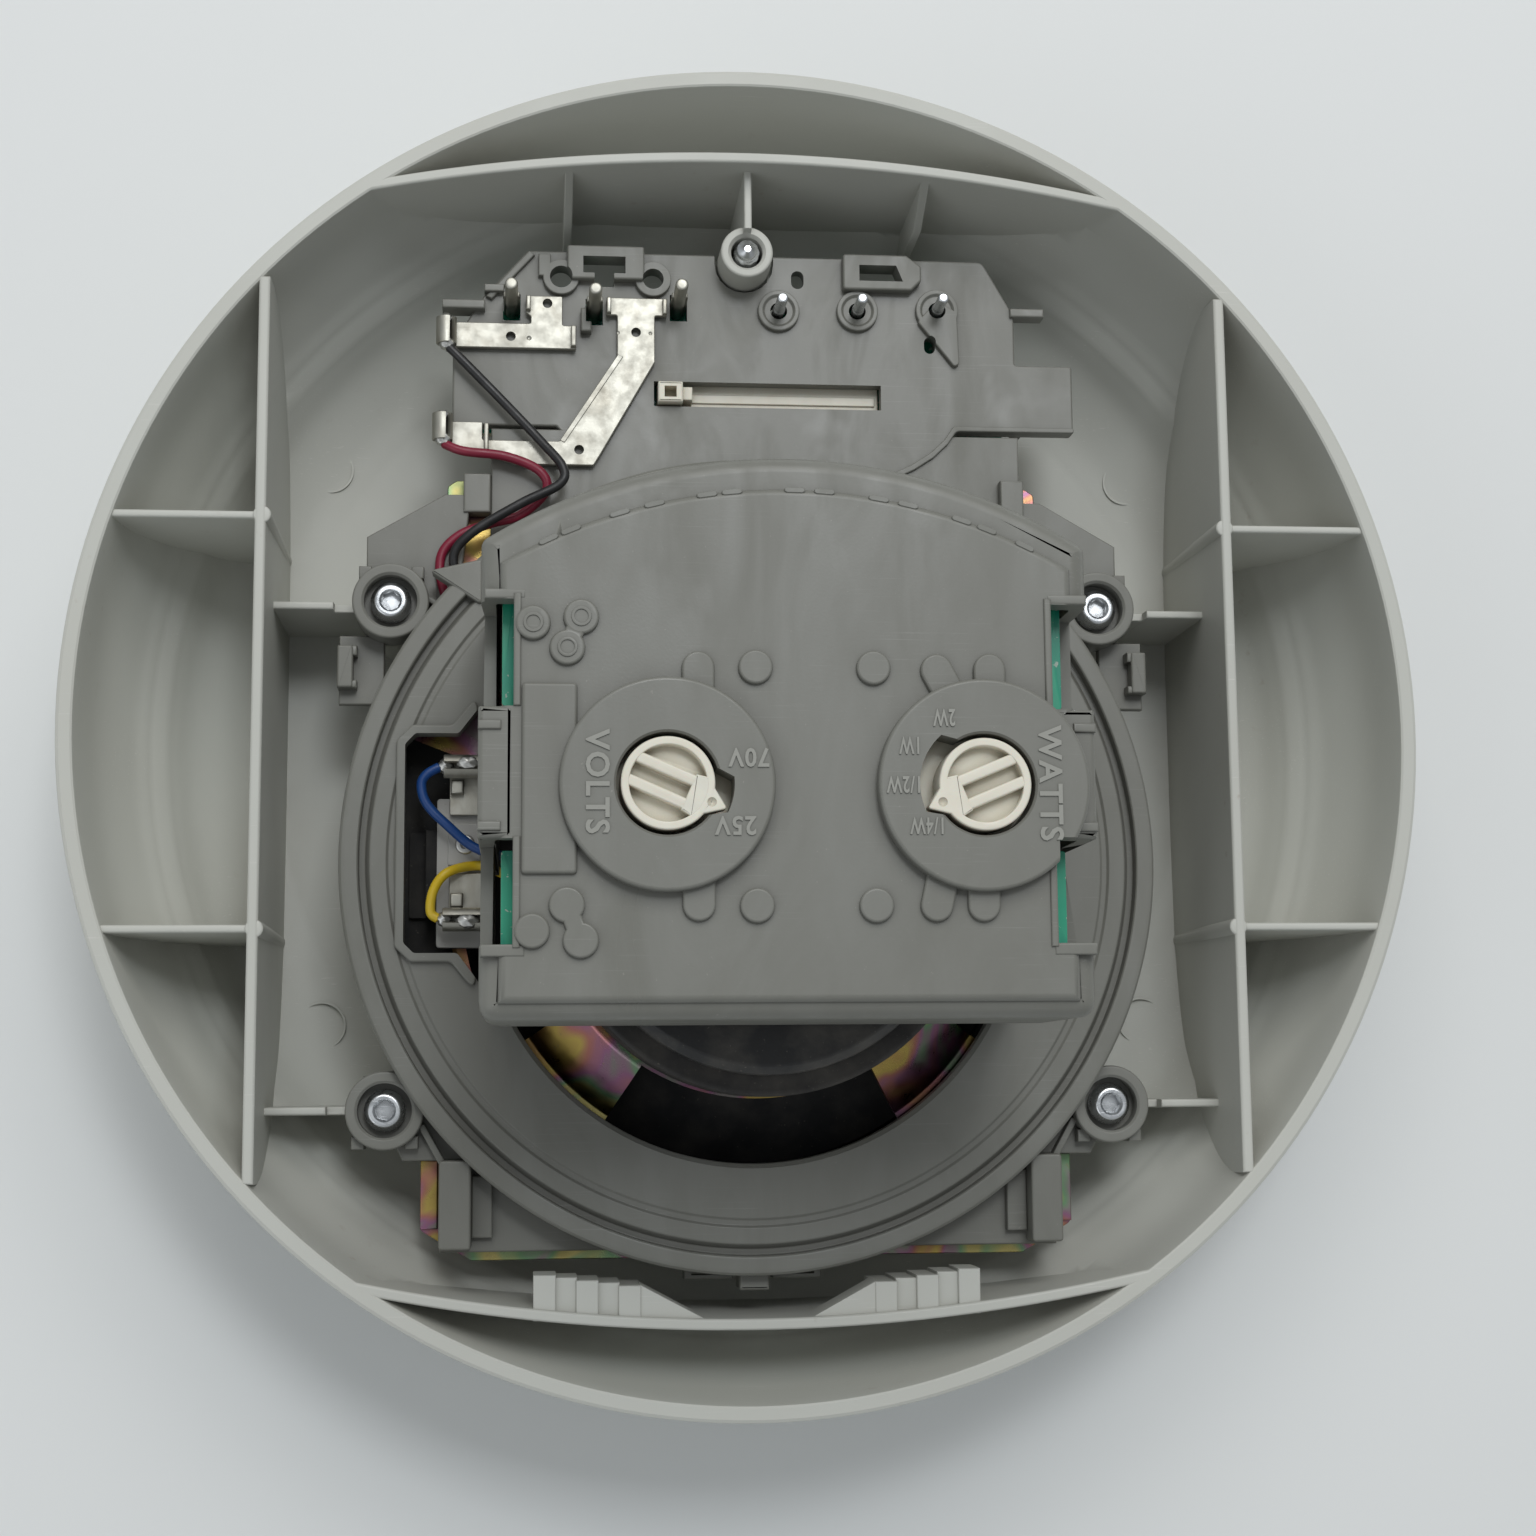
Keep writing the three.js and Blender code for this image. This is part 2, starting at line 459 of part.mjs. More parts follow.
function chassisOpenings() {
  const top = MODULE.top;
  const deep = [top - 4, top + 4];
  const tools = [
    pin(SPEAKER.x, SPEAKER.y, CHASSIS.opening, -14, 0, 36),
    // side window over the loudspeaker's terminals
    raise(shapeOf([
      [-30, 6], [-34.6, 2.2], [-37.2, -1.2], [-42.6, -1.2], [-43.9, -2.6], [-43.9, -27.6], [-42.6, -28.9],
      [-37.2, -28.9], [-34.6, -32.4], [-30, -36],
    ]), -14, 0),
    // windows over the strobe board, its test holes, and the slider's slot
    box(-21.5, -15.9, 61.4, 63.7, ...deep),
    box(-20, -17.4, 60, 61.6, ...deep),
    box(15.4, 21.3, 61.2, 63.4, ...deep),
    pin(-24.4, 61, 1.5, ...deep),
    pin(-12.2, 61, 1.4, ...deep),
    pill([7.2, 61.2], [7.2, 62], 0.85, ...deep, 12),
    pill([25, 52.5], [25, 53.3], 0.75, ...deep, 12),
    box(SLOT.x0, SLOT.x1, SLOT.y0, SLOT.y1, ...deep),
    // the pillar's seat
    pin(PILLAR.x, PILLAR.y, PILLAR.outer + 0.5, -14, -2, 16),
    box(-PILLAR.outer - 0.5, PILLAR.outer + 0.5, PILLAR.y, PILLAR.y + 4, -14, -2),
  ];
  // tunnel for the black and red wires under the corner gusset
  tools.push(box(-40.4, -33.5, 10, 21, -9.4, -6.2));
  for (const [x, y] of CONTACTS) tools.push(box(x - 1.15, x + 1.15, y - 1.9, y + 1.7, ...deep));
  for (const [x, y] of GUIDES) tools.push(pin(x, y, 1.15, ...deep, 16));
  for (const [x, y] of SCREWS) {
    tools.push(pin(x, y, BOSS.inner, BOSS.seat, 0, 18), pin(x, y, POST.bore, -20, 0));
  }
  for (const side of [-1, 1]) tools.push(box(side * 5.6 - 2.2, side * 5.6 + 2.2, -69.2, -66.8, -14, -6));
  return tools;
}

// Lip round the side window.
const windowLip = raise(shapeOf([
  [-34.8, 4], [-38, -0.1], [-43, -0.1], [-45, -2.1], [-45, -28.1], [-43, -30], [-38, -30], [-34.8, -34],
]), CHASSIS.deck - 1, CHASSIS.deck + 0.9);

add('rear_chassis', cut(join(chassisPlates(), chassisModule(), windowLip), ...chassisOpenings()),
  COLOUR.chassis, 0.5);

// ---------------------------------------------------------------- contacts on the module

const contactLift = MODULE.top + GAP;
const contactTop = contactLift + 0.8;

function barrel(x, y, z, length) {
  const outer = new THREE.CylinderGeometry(1.35, 1.35, length, 16);
  const inner = new THREE.CylinderGeometry(0.75, 0.75, length + 2, 12);
  for (const geometry of [outer, inner]) geometry.translate(x, y, z);
  return solid(outer).subtract(solid(inner));
}

const blackPlate = join(
  raise(shapeOf([
    [-38.4, 51], [-22.4, 51], [-22.4, 54.2], [-24.2, 54.2], [-24.2, 58.2], [-29, 58.2], [-29, 55.9],
    [-28.4, 55.4], [-28.4, 54.4], [-38.4, 54.4],
  ]), contactLift, contactTop),
  barrel(-39.4, 53, contactLift + 1.2, 3.6),
);
// A hole through a contact plate.
function eyelet(x, y) {
  return pin(x, y, 0.65, MODULE.top - 2, MODULE.top + 4, 12);
}
add('black_contact', cut(blackPlate, eyelet(-26.2, 57.2), eyelet(-31, 52.6)), COLOUR.nickel, 0.3, 1);

const redPlate = join(
  raise(shapeOf([
    [-18.4, 58.2], [-18.4, 55.8], [-17, 55.8], [-17, 50.3], [-24.6, 38.5], [-34.6, 38.5], [-34.6, 40.9],
    [-39, 40.9], [-39, 37.6], [-36, 37.2], [-30.4, 35.3], [-20.1, 35.3], [-19.2, 36.8], [-12, 49.5],
    [-12, 55.8], [-10.4, 55.8], [-10.4, 58.2],
  ]), contactLift, contactTop),
  barrel(-39.8, 40, contactLift + 1.2, 3.6),
);
add('red_contact', cut(redPlate, eyelet(-14.5, 53.5), eyelet(-22, 37.4)), COLOUR.nickel, 0.3, 1);

CONTACTS.forEach(([x, y], i) => {
  add(`contact_pin_${i + 1}`, turn([
    [0, -14.3], [0.85, -14.3], [0.85, -2.6], [0.5, -2], [0, -2],
  ], { x, y: y + 0.5, segments: 16 }), COLOUR.nickel, 0.25, 1);
});
GUIDES.forEach(([x, y], i) => {
  add(`power_pin_${i + 1}`, turn([
    [0, -14.3], [0.8, -14.3], [0.8, -4.6], [0.4, -4], [0, -4],
  ], { x, y, segments: 16 }), COLOUR.steel, 0.3, 1);
});

// Candela slider: a square finger piece on a flat bar that runs under the slot.
const sliderMiddle = (SLOT.y0 + SLOT.y1) / 2;
const sliderX = SLOT.x0 + 0.5;
const sliderBar = box(sliderX, SLOT.x1 - 0.1, sliderMiddle - 2.1, sliderMiddle + 2.1, -14, SLIDER.barTop);
const sliderKnob = box(sliderX, sliderX + SLIDER.length, sliderMiddle - SLIDER.width / 2,
  sliderMiddle + SLIDER.width / 2, SLIDER.barTop - 0.2, SLIDER.top);
const sliderSocket = box(sliderX + 0.9, sliderX + SLIDER.length - 0.9, sliderMiddle - 0.7, sliderMiddle + 0.7,
  SLIDER.top - 2.3, SLIDER.top + 1);
add('candela_slider', cut(join(sliderBar, sliderKnob), sliderSocket), COLOUR.ivory, 0.5);

// ---------------------------------------------------------------- housing over the line transformer

function housingOutline(inset) {
  const half = HOUSING.half - inset;
  const radius = HOUSING.arch - inset;
  const bottom = HOUSING.bottom + inset;
  const swing = Math.asin(half / radius);
  const shape = new THREE.Shape();
  shape.moveTo(-half, bottom);
  shape.lineTo(half, bottom);
  shape.absarc(0, HOUSING.archY, radius, Math.PI / 2 - swing, Math.PI / 2 + swing, false);
  return shape;
}

// The opening that a knob's pointer swings in, with sides that slope as the pointer's do.
function pointerPocket({ x, start, travel }, z0, z1) {
  const from = (start + Math.min(0, travel) - 2.5) * degrees;
  const to = (start + Math.max(0, travel) + 2.5) * degrees;
  const flare = 14 * degrees;
  const shape = new THREE.Shape();
  shape.moveTo(x, DIAL.y);
  shape.lineTo(x + 5.4 * Math.cos(from - flare), DIAL.y + 5.4 * Math.sin(from - flare));
  shape.absarc(x, DIAL.y, DIAL.pocket, from, to, false);
  shape.lineTo(x + 5.4 * Math.cos(to + flare), DIAL.y + 5.4 * Math.sin(to + flare));
  return raise(shape, z0, z1, 8);
}

// Low round and long swellings on the cover's face, over the pins and coils inside.
const COVER_DOTS = [[-3.8, -0.4], [9.2, -0.4], [-3.8, -26.5], [9.2, -26.5], [-28, 4.3], [-28, -29.2]];
const COVER_PILLS = [
  [[-22.8, 5], [-24.3, 1.6]], [[-24.3, -26.4], [-22.8, -30.2]],
  [[-10.1, -0.5], [-10.1, -5]], [[-10.1, -26.4], [-10.1, -22]],
  [[16.2, -0.6], [18.2, -4.4]], [[15.8, -26.5], [16.8, -22]],
  [[22.1, -0.5], [22.1, -4]], [[21, -26.5], [21, -22]],
];

function housing() {
  const { top, base, wall } = HOUSING;
  const steps = [[0, base, top - 2.2], [0.8, top - 2.3, top - 0.8], [2.2, top - 0.9, top]];
  const outside = join(...steps.map(([inset, z0, z1]) => raise(housingOutline(inset), z0, z1, 8)));
  const inside = raise(housingOutline(wall), base - 1, top - wall - 0.4, 8);
  const underside = box(-40, 40, -60, -34, base - 1, 20);
  const raised = [];
  for (const { x } of DIALS) raised.push(pin(x, DIAL.y, DIAL.disc, top - 1, DIAL.top, 28));
  const lift = [top - 1, top + 0.8];
  for (const [x, y] of COVER_DOTS) raised.push(pin(x, y, 1.9, ...lift, 12));
  for (const [start, end] of COVER_PILLS) raised.push(pill(start, end, 1.8, ...lift));
  raised.push(box(-29.2, -23.2, -23.1, -2.3, ...lift));
  for (const side of [-1, 1]) {
    raised.push(box(side * 32 - 1.9, side * 32 + 1.9, -19.2, -4.8, base, top + 0.2));
  }
  const tools = [];
  for (const side of [-1, 1]) {
    for (const [y0, y1] of [[-30.6, -19.2], [-4.8, 7]]) {
      const x0 = side < 0 ? -36 : 30.1;
      tools.push(box(x0, x0 + 5.9, y0, y1, 31, top + 2));
    }
  }
  // room inside the side tabs
  for (const side of [-1, 1]) {
    tools.push(box(side * 30.95 - 1.05, side * 30.95 + 1.05, -19.6, -4.4, base - 1, top - 2));
  }
  for (const dial of DIALS) {
    tools.push(pin(dial.x, DIAL.y, DIAL.hole, top - 4, DIAL.top + 1, 28));
    tools.push(pointerPocket(dial, top - 4, DIAL.top + 1));
  }
  return cut(join(cut(outside, inside, underside), ...raised), ...tools);
}
add('transformer_cover', housing(), COLOUR.chassis, 0.5);

const boardOutline = shapeOf([
  [-BOARD.half, -31], [-BOARD.half, -20], [-29.4, -20], [-29.4, -4], [-BOARD.half, -4], [-BOARD.half, 8],
  [-20, 16], [20, 16], [BOARD.half, 8], [BOARD.half, -4], [29.4, -4], [29.4, -20], [BOARD.half, -20],
  [BOARD.half, -31], [20, -35.5], [-20, -35.5],
].reverse());
const boardBores = DIALS.map(({ x }) => pin(x, DIAL.y, 2.2, 30, 40));
const selectorBoard = raise(boardOutline, BOARD.top - BOARD.thick, BOARD.top);
add('selector_board', cut(selectorBoard, ...boardBores), COLOUR.board, 0.4);

// A rotary knob: a flange under the cover, a cap with a rim and two finger bars, and a pointer.
function knob({ x, start }) {
  const y = DIAL.y;
  const angle = start * degrees;
  const turned = (along, across) => [
    x + along * Math.cos(angle) - across * Math.sin(angle),
    y + along * Math.sin(angle) + across * Math.cos(angle),
  ];
  const flange = pin(x, y, KNOB.flange, KNOB.under, KNOB.under + 1, 28);
  const cap = pin(x, y, KNOB.radius, KNOB.under, KNOB.top, 28);
  const stem = pin(x, y, KNOB.shaft, KNOB.foot, KNOB.under + 1, 16);
  const pointer = raise(shapeOf([
    turned(4.3, -1.75), turned(KNOB.tip - 0.2, -0.3), turned(KNOB.tip, 0), turned(KNOB.tip - 0.2, 0.3),
    turned(4.3, 1.75), turned(2, 1.75), turned(2, -1.75),
  ]), HOUSING.top, KNOB.top);
  const floor = [KNOB.top - 1.7, KNOB.top + 1];
  const reach = 3.35;
  const middleSlot = shapeOf([
    turned(-reach, -0.62), turned(2.9, -0.62), turned(2.9, 0.62), turned(-reach, 0.62),
  ]);
  const slots = [raise(middleSlot, ...floor)];
  for (const side of [-1, 1]) {
    const swing = Math.acos(1.55 / KNOB.groove);
    const middle = angle + (side * Math.PI) / 2;
    const segment = new THREE.Shape();
    segment.absarc(x, y, KNOB.groove, middle - swing, middle + swing, false);
    slots.push(raise(segment, ...floor, 8));
  }
  return cut(join(flange, cap, stem, pointer), ...slots);
}

for (const dial of DIALS) {
  const { name, x } = dial;
  add(`${name}_switch`, cut(box(x - 5, x + 5, DIAL.y - 5, DIAL.y + 5, BOARD.top + GAP, KNOB.under - GAP),
    pin(x, DIAL.y, KNOB.shaft + 0.4, 30, 42, 16)), COLOUR.black, 0.6);
  add(`${name}_knob`, knob(dial), COLOUR.ivory, 0.45);
}

// Line transformer, hung under the selector board, and the line blocking capacitor beside it.
const coreBody = box(-CORE.half, CORE.half, CORE.y0, CORE.y1, CORE.z0, CORE.z1);
const coreWindows = [-1, 1].map((side) => (
  box(side * 6 - 2.6, side * 6 + 2.6, 0, 20, CORE.z0 + CORE.yoke, CORE.z1 - CORE.yoke)
));
add('transformer_core', cut(coreBody, ...coreWindows), COLOUR.lamination, 0.5, 0.7);
const coilEnds = [CORE.z0 + CORE.yoke + GAP, CORE.z1 - CORE.yoke - GAP];
const coil = box(-8.3, 8.3, CORE.y0 - 3, CORE.y1 + 2.4, ...coilEnds);
add('transformer_coil', cut(coil, box(-3.7, 3.7, CORE.y0 - GAP, CORE.y1 + GAP, 0, 40)), COLOUR.film, 0.6);
add('blocking_capacitor', pin(-21, 6.5, 4.5, 20, BOARD.top - BOARD.thick - GAP, 24), COLOUR.sleeve, 0.4);

// ---------------------------------------------------------------- fasteners

SCREWS.forEach(([x, y], i) => {
  const seat = BOSS.seat + GAP;
  const body = turn([
    [0, seat - SCREW.length], [0.5, seat - SCREW.length], [SCREW.shank, seat - SCREW.length + 1.4],
    [SCREW.shank, seat], [SCREW.head, seat], [SCREW.head, seat + 1],
    [SCREW.head - 0.6, seat + SCREW.height - 0.4], [SCREW.head - 1.2, seat + SCREW.height],
    [0, seat + SCREW.height],
  ], { x, y, segments: 16 });
  const socket = pin(x, y, SCREW.socket, seat + 0.9, seat + 4, 6);
  add(`chassis_screw_${i + 1}`, cut(body, socket), COLOUR.steel, 0.25, 1);
});

const mountingScrew = turn([
  [0, -29.6], [3.6, -29.6], [3.9, -27.4], [3.9, -26], [1.7, -26], [1.7, -5.6], [0.6, -3.9], [0, -3.9],
], { x: PILLAR.x, y: PILLAR.y, segments: 24 });
const driveSlot = box(-3, 3, PILLAR.y - 0.5, PILLAR.y + 0.5, -31, -28.6);
add('mounting_screw', cut(mountingScrew, driveSlot), COLOUR.steel, 0.3, 1);

// ---------------------------------------------------------------- wires

add('black_wire', wire([
  [-39.2, 50.8, -8.5], [-38.4, 50.1, -8.2], [-32.2, 43.7, -8], [-27, 38, -7.4], [-24.2, 34.4, -6.4],
  [-24.6, 32, -6.2], [-29.6, 29.4, -6.4], [-36, 25.4, -6.8], [-38.2, 22.2, -7.4], [-36.4, 17.4, -7.9],
  [-33, 11, -8], [-26.6, 4.6, -8], [-24.2, 2.4, -7.3], [-23.1, 1.4, -4.6], [-23, 1.3, 8], [-23, 1.3, 34],
], WIRE, 30), COLOUR.black, 0.45);
add('red_wire', wire([
  [-39.8, 37.8, -8.4], [-37, 36.6, -7.7], [-31.6, 36, -7.7], [-27.2, 34.2, -7.9], [-26.3, 31.6, -8.2],
  [-29.6, 28.4, -8.5], [-33.4, 27.2, -8.4], [-37.6, 25.5, -8.5], [-39.9, 22.4, -8.5], [-39, 17, -8.4],
  [-34.5, 9, -8.2], [-28.4, 2.4, -7.9], [-26.6, 0, -7.2], [-25.2, -1.2, -4.6], [-25.1, -1.3, 8], [-25.1, -1.3, 34],
], WIRE, 30), COLOUR.red, 0.45);
add('blue_wire', wire([
  [-39.5, -5.2, -4.9], [-41.2, -6.2, -4.9], [-41.9, -7.6, -4.9], [-41.2, -10, -4.9], [-38.7, -12.6, -5],
  [-35.3, -15.4, -5.4], [-31.6, -16.6, -4.4], [-29, -16.6, 2], [-28.2, -16.4, 20], [-28.2, -16.4, 34],
], WIRE, 22), COLOUR.blue, 0.45);
add('yellow_wire', wire([
  [-39.5, -24.6, -4.9], [-40.6, -23.6, -4.9], [-40.2, -20.8, -4.9], [-38.4, -18.6, -5], [-34.5, -17.6, -7],
  [-31, -19, -4.6], [-29, -19.4, 2], [-28.2, -19.2, 20], [-28.2, -19.2, 34],
], WIRE, 22), COLOUR.yellow, 0.45);

export default part;
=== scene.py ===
# Looks of the ceiling speaker strobe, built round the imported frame. Lengths are millimetres until a
# mesh is made, in the frame's own axes: +Z is the back, towards the ceiling.
import json
import math

import bmesh
import bpy
from mathutils import Euler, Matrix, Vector


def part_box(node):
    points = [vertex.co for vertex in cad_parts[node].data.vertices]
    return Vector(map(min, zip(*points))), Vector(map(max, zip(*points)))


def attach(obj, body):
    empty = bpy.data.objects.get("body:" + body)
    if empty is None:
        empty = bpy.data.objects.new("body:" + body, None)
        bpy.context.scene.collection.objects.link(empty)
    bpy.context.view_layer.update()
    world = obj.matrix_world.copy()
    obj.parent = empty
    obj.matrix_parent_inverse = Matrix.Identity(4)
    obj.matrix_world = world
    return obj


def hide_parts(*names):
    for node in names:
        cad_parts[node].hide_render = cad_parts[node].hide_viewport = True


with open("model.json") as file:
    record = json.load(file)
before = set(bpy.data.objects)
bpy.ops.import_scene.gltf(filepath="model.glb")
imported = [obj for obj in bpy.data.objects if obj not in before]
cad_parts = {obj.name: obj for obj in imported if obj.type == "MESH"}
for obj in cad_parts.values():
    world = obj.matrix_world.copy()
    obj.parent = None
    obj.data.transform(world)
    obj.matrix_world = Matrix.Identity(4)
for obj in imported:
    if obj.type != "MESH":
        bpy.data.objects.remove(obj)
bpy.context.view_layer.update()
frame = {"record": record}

MM = 0.001
TIP = 0.25                               # rounded end of a wire, in radii


def corners(node):
    """Lowest and highest corner of a CAD node, in millimetres."""
    low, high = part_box(node)
    return low / MM, high / MM


# ------------------------------------------------------------------ outlines and closed solids

def arc(x, y, radius, start, end, steps=12):
    """Points on a circle, from one angle to another in degrees."""
    turn = [math.radians(start + (end - start) * i / steps) for i in range(steps + 1)]
    return [(x + radius * math.cos(t), y + radius * math.sin(t)) for t in turn]


def on_circle(x, y, radius, angle):
    return arc(x, y, radius, angle, angle, 1)[0]


def circle(x, y, radius, steps=40):
    return arc(x, y, radius, 0, 360 - 360 / steps, steps - 1)


def pill(a, b, radius, steps=10):
    """A bar with round ends between two points."""
    along = math.degrees(math.atan2(b[1] - a[1], b[0] - a[0]))
    return arc(*b, radius, along - 90, along + 90, steps) + arc(*a, radius, along + 90, along + 270, steps)


def rect(x0, x1, y0, y1):
    return [(x0, y0), (x1, y0), (x1, y1), (x0, y1)]


def fillet(points, radius, steps=4, closed=True):
    """Rounds the corners of an outline or profile. A point may carry its own radius as a third number."""
    made = []
    count = len(points)
    for i, point in enumerate(points):
        corner = Vector(point[:2])
        size = point[2] if len(point) > 2 else radius
        if size <= 0 or (not closed and i in (0, count - 1)):
            made.append(tuple(corner))
            continue
        back = Vector(points[i - 1][:2]) - corner
        on = Vector(points[(i + 1) % count][:2]) - corner
        if back.length < 1e-6 or on.length < 1e-6:
            continue
        half = back.angle(on) / 2
        if half > math.radians(88):
            made.append(tuple(corner))
            continue
        reach = min(size / math.tan(half), 0.48 * back.length, 0.48 * on.length)
        start = corner + back.normalized() * reach
        end = corner + on.normalized() * reach
        for k in range(steps + 1):
            t = k / steps
            made.append(tuple(start.lerp(corner, t).lerp(corner.lerp(end, t), t)))
    return made


def smooth(points, per=6):
    """A Catmull-Rom curve through points of any dimension, ends included."""
    line = [Vector(p) for p in points]
    line = [line[0] * 2 - line[1]] + line + [line[-1] * 2 - line[-2]]
    made = []
    for a, b, c, d in zip(line, line[1:], line[2:], line[3:]):
        for k in range(per):
            t = k / per
            made.append(tuple(0.5 * (2 * b + (c - a) * t + (2 * a - 5 * b + 4 * c - d) * t ** 2
                                     + (3 * b - a - 3 * c + d) * t ** 3)))
    return made + [tuple(line[-2])]


def area(outline):
    return sum(a[0] * b[1] - b[0] * a[1] for a, b in zip(outline, outline[1:] + outline[:1])) / 2


def inset(outline, distance):
    """The outline moved inwards, corner by corner."""
    made = []
    for i, point in enumerate(outline):
        before = Vector(point) - Vector(outline[i - 1])
        after = Vector(outline[(i + 1) % len(outline)]) - Vector(point)
        first = Vector((-before.y, before.x)).normalized()
        second = Vector((-after.y, after.x)).normalized()
        shift = (first + second) / max(0.35, 1 + first.dot(second))
        made.append((point[0] + distance * shift.x, point[1] + distance * shift.y))
    return made


def skin(loops):
    """A closed solid through stacked loops with equally many corners."""
    count = len(loops[0])
    points = [corner for loop in loops for corner in loop]
    faces = [tuple(reversed(range(count))), tuple(range(len(points) - count, len(points)))]
    for start in range(0, len(points) - count, count):
        for i in range(count):
            j = (i + 1) % count
            faces.append((start + i, start + j, start + count + j, start + count + i))
    return points, faces


def slab(outline, z0, z1, top=0.25, foot=0.0, draft=0.0, steps=3):
    """An upright prism whose upper and lower edges are rounded. draft widens it towards its foot."""
    if area(outline) < 0:
        outline = outline[::-1]
    rings = []
    if foot > 0:
        for k in range(steps):
            a = math.pi / 2 * k / steps
            rings.append((foot - foot * math.sin(a), z0 + foot - foot * math.cos(a)))
    rings.append((0.0, z0 + foot))
    if top > 0:
        for k in range(steps + 1):
            a = math.pi / 2 * k / steps
            rings.append((top - top * math.cos(a), z1 - top + top * math.sin(a)))
    else:
        rings.append((0.0, z1))
    loops = []
    for shift, z in rings:
        grown = shift - draft * (z1 - z) / (z1 - z0)
        loops.append([(x, y, z) for x, y in inset(outline, grown)])
    return skin(loops)


def block(x0, x1, y0, y1, z0, z1, top=0.2, foot=0.0, corner=0.0, draft=0.0):
    outline = rect(x0, x1, y0, y1)
    if corner > 0:
        outline = fillet(outline, corner)
    return slab(outline, z0, z1, top, foot, draft)


def post(x, y, radius, z0, z1, top=0.2, foot=0.0, steps=40, draft=0.0):
    return slab(circle(x, y, radius, steps), z0, z1, top, foot, draft)


def lathe(profile, x=0.0, y=0.0, segments=96):
    """A [radius, z] profile turned about an upright axis. It starts and ends on the axis, or is a ring."""
    points, faces, rings = [], [], []
    for radius, z in profile:
        start = len(points)
        if radius < 1e-6:
            points.append((x, y, z))
            rings.append([start] * segments)
            continue
        points += [(px, py, z) for px, py in circle(x, y, radius, segments)]
        rings.append(list(range(start, start + segments)))
    pairs = list(zip(rings, rings[1:]))
    if profile[0][0] > 1e-6:
        pairs.append((rings[-1], rings[0]))
    for a, b in pairs:
        for i in range(segments):
            j = (i + 1) % segments
            face = [a[i], a[j], b[j], b[i]]
            face = list(dict.fromkeys(face))
            if len(face) > 2:
                faces.append(tuple(face))
    return points, faces


def ring(x, y, inner, outer, z0, z1, soft=0.2, segments=96):
    profile = fillet([(inner, z0, 0), (outer, z0, 0), (outer, z1, soft), (inner, z1, soft)], soft, 3)
    return lathe(profile, x, y, segments)


def tube(points, radius, sides=14, per=5):
    """A round wire along given points, with softly rounded ends."""
    path = [Vector(p) for p in smooth(points, per)]
    loops = []
    side = Vector((0, 0, 1))
    for i, here in enumerate(path):
        along = (path[min(i + 1, len(path) - 1)] - path[max(i - 1, 0)]).normalized()
        side = (side - along * side.dot(along)).normalized()
        if side.length < 0.5:
            side = along.orthogonal().normalized()
        other = along.cross(side)

        def loop(centre, scale):
            return [tuple(centre + radius * scale * (math.cos(a) * side + math.sin(a) * other))
                    for a in (2 * math.pi * k / sides for k in range(sides))]

        if i == 0:
            loops.append(loop(here, 0.6))
            loops.append(loop(here + along * radius * TIP, 0.92))
        elif i == len(path) - 1:
            loops.append(loop(here - along * radius * TIP, 0.92))
            loops.append(loop(here, 0.6))
        else:
            loops.append(loop(here, 1.0))
    return skin(loops)


def sphere(x, y, z, rx, ry=None, rz=None, segments=20, rings=12, lump=0.0):
    """A ball or egg, lumpy if asked."""
    ry, rz = ry or rx, rz or rx
    profile = [(math.sin(math.pi * k / rings), -math.cos(math.pi * k / rings)) for k in range(rings + 1)]
    profile[0], profile[-1] = (0.0, -1.0), (0.0, 1.0)
    points, faces = lathe(profile, segments=segments)
    made = []
    for px, py, pz in points:
        swell = 1 + lump * math.sin(3.1 * px + 5.3 * py + 4.1 * pz) * math.cos(4.7 * px - 2.9 * pz)
        made.append((x + rx * swell * px, y + ry * swell * py, z + rz * swell * pz))
    return made, faces


def turned(solid, origin=(0, 0, 0), x=0.0, y=0.0, z=0.0):
    """The solid turned about a point, by angles in degrees about X, then Y, then Z."""
    matrix = Euler([math.radians(a) for a in (x, y, z)]).to_matrix()
    centre = Vector(origin)
    points, faces = solid
    return [tuple(matrix @ (Vector(p) - centre) + centre) for p in points], faces


def swapped(solid, place):
    """The solid with its coordinates rearranged by place(x, y, z)."""
    points, faces = solid
    return [place(*point) for point in points], faces


def moved(solid, x=0.0, y=0.0, z=0.0):
    points, faces = solid
    return [(px + x, py + y, pz + z) for px, py, pz in points], faces


# ------------------------------------------------------------------ objects

def raw_object(name, solids):
    """One mesh object that holds these solids as they are."""
    build = bmesh.new()
    for points, faces in solids:
        made = [build.verts.new((x * MM, y * MM, z * MM)) for x, y, z in points]
        for face in faces:
            build.faces.new([made[i] for i in face])
    bmesh.ops.recalc_face_normals(build, faces=build.faces)
    mesh = bpy.data.meshes.new(name)
    build.to_mesh(mesh)
    build.free()
    made = bpy.data.objects.new(name, mesh)
    bpy.context.scene.collection.objects.link(made)
    return made


def carved(name, solids, cuts=(), within=()):
    """The solids joined into one, kept inside the within solids, with the cuts taken away."""
    made = raw_object(name, solids[:1])
    helpers = []
    for operation, group in (("UNION", solids[1:]), ("INTERSECT", within), ("DIFFERENCE", cuts)):
        for solid in group:
            helper = raw_object(f"{name}_tool", [solid])
            helper.hide_render = True
            step = made.modifiers.new(operation.lower(), "BOOLEAN")
            step.operation = operation
            step.solver = "MANIFOLD"
            step.object = helper
            helpers.append(helper)
    bpy.context.view_layer.update()
    result = bpy.data.meshes.new_from_object(made.evaluated_get(bpy.context.evaluated_depsgraph_get()))
    made.modifiers.clear()
    made.data = result
    result.name = name
    for helper in helpers:
        bpy.data.objects.remove(helper)
    clean(result)
    return made


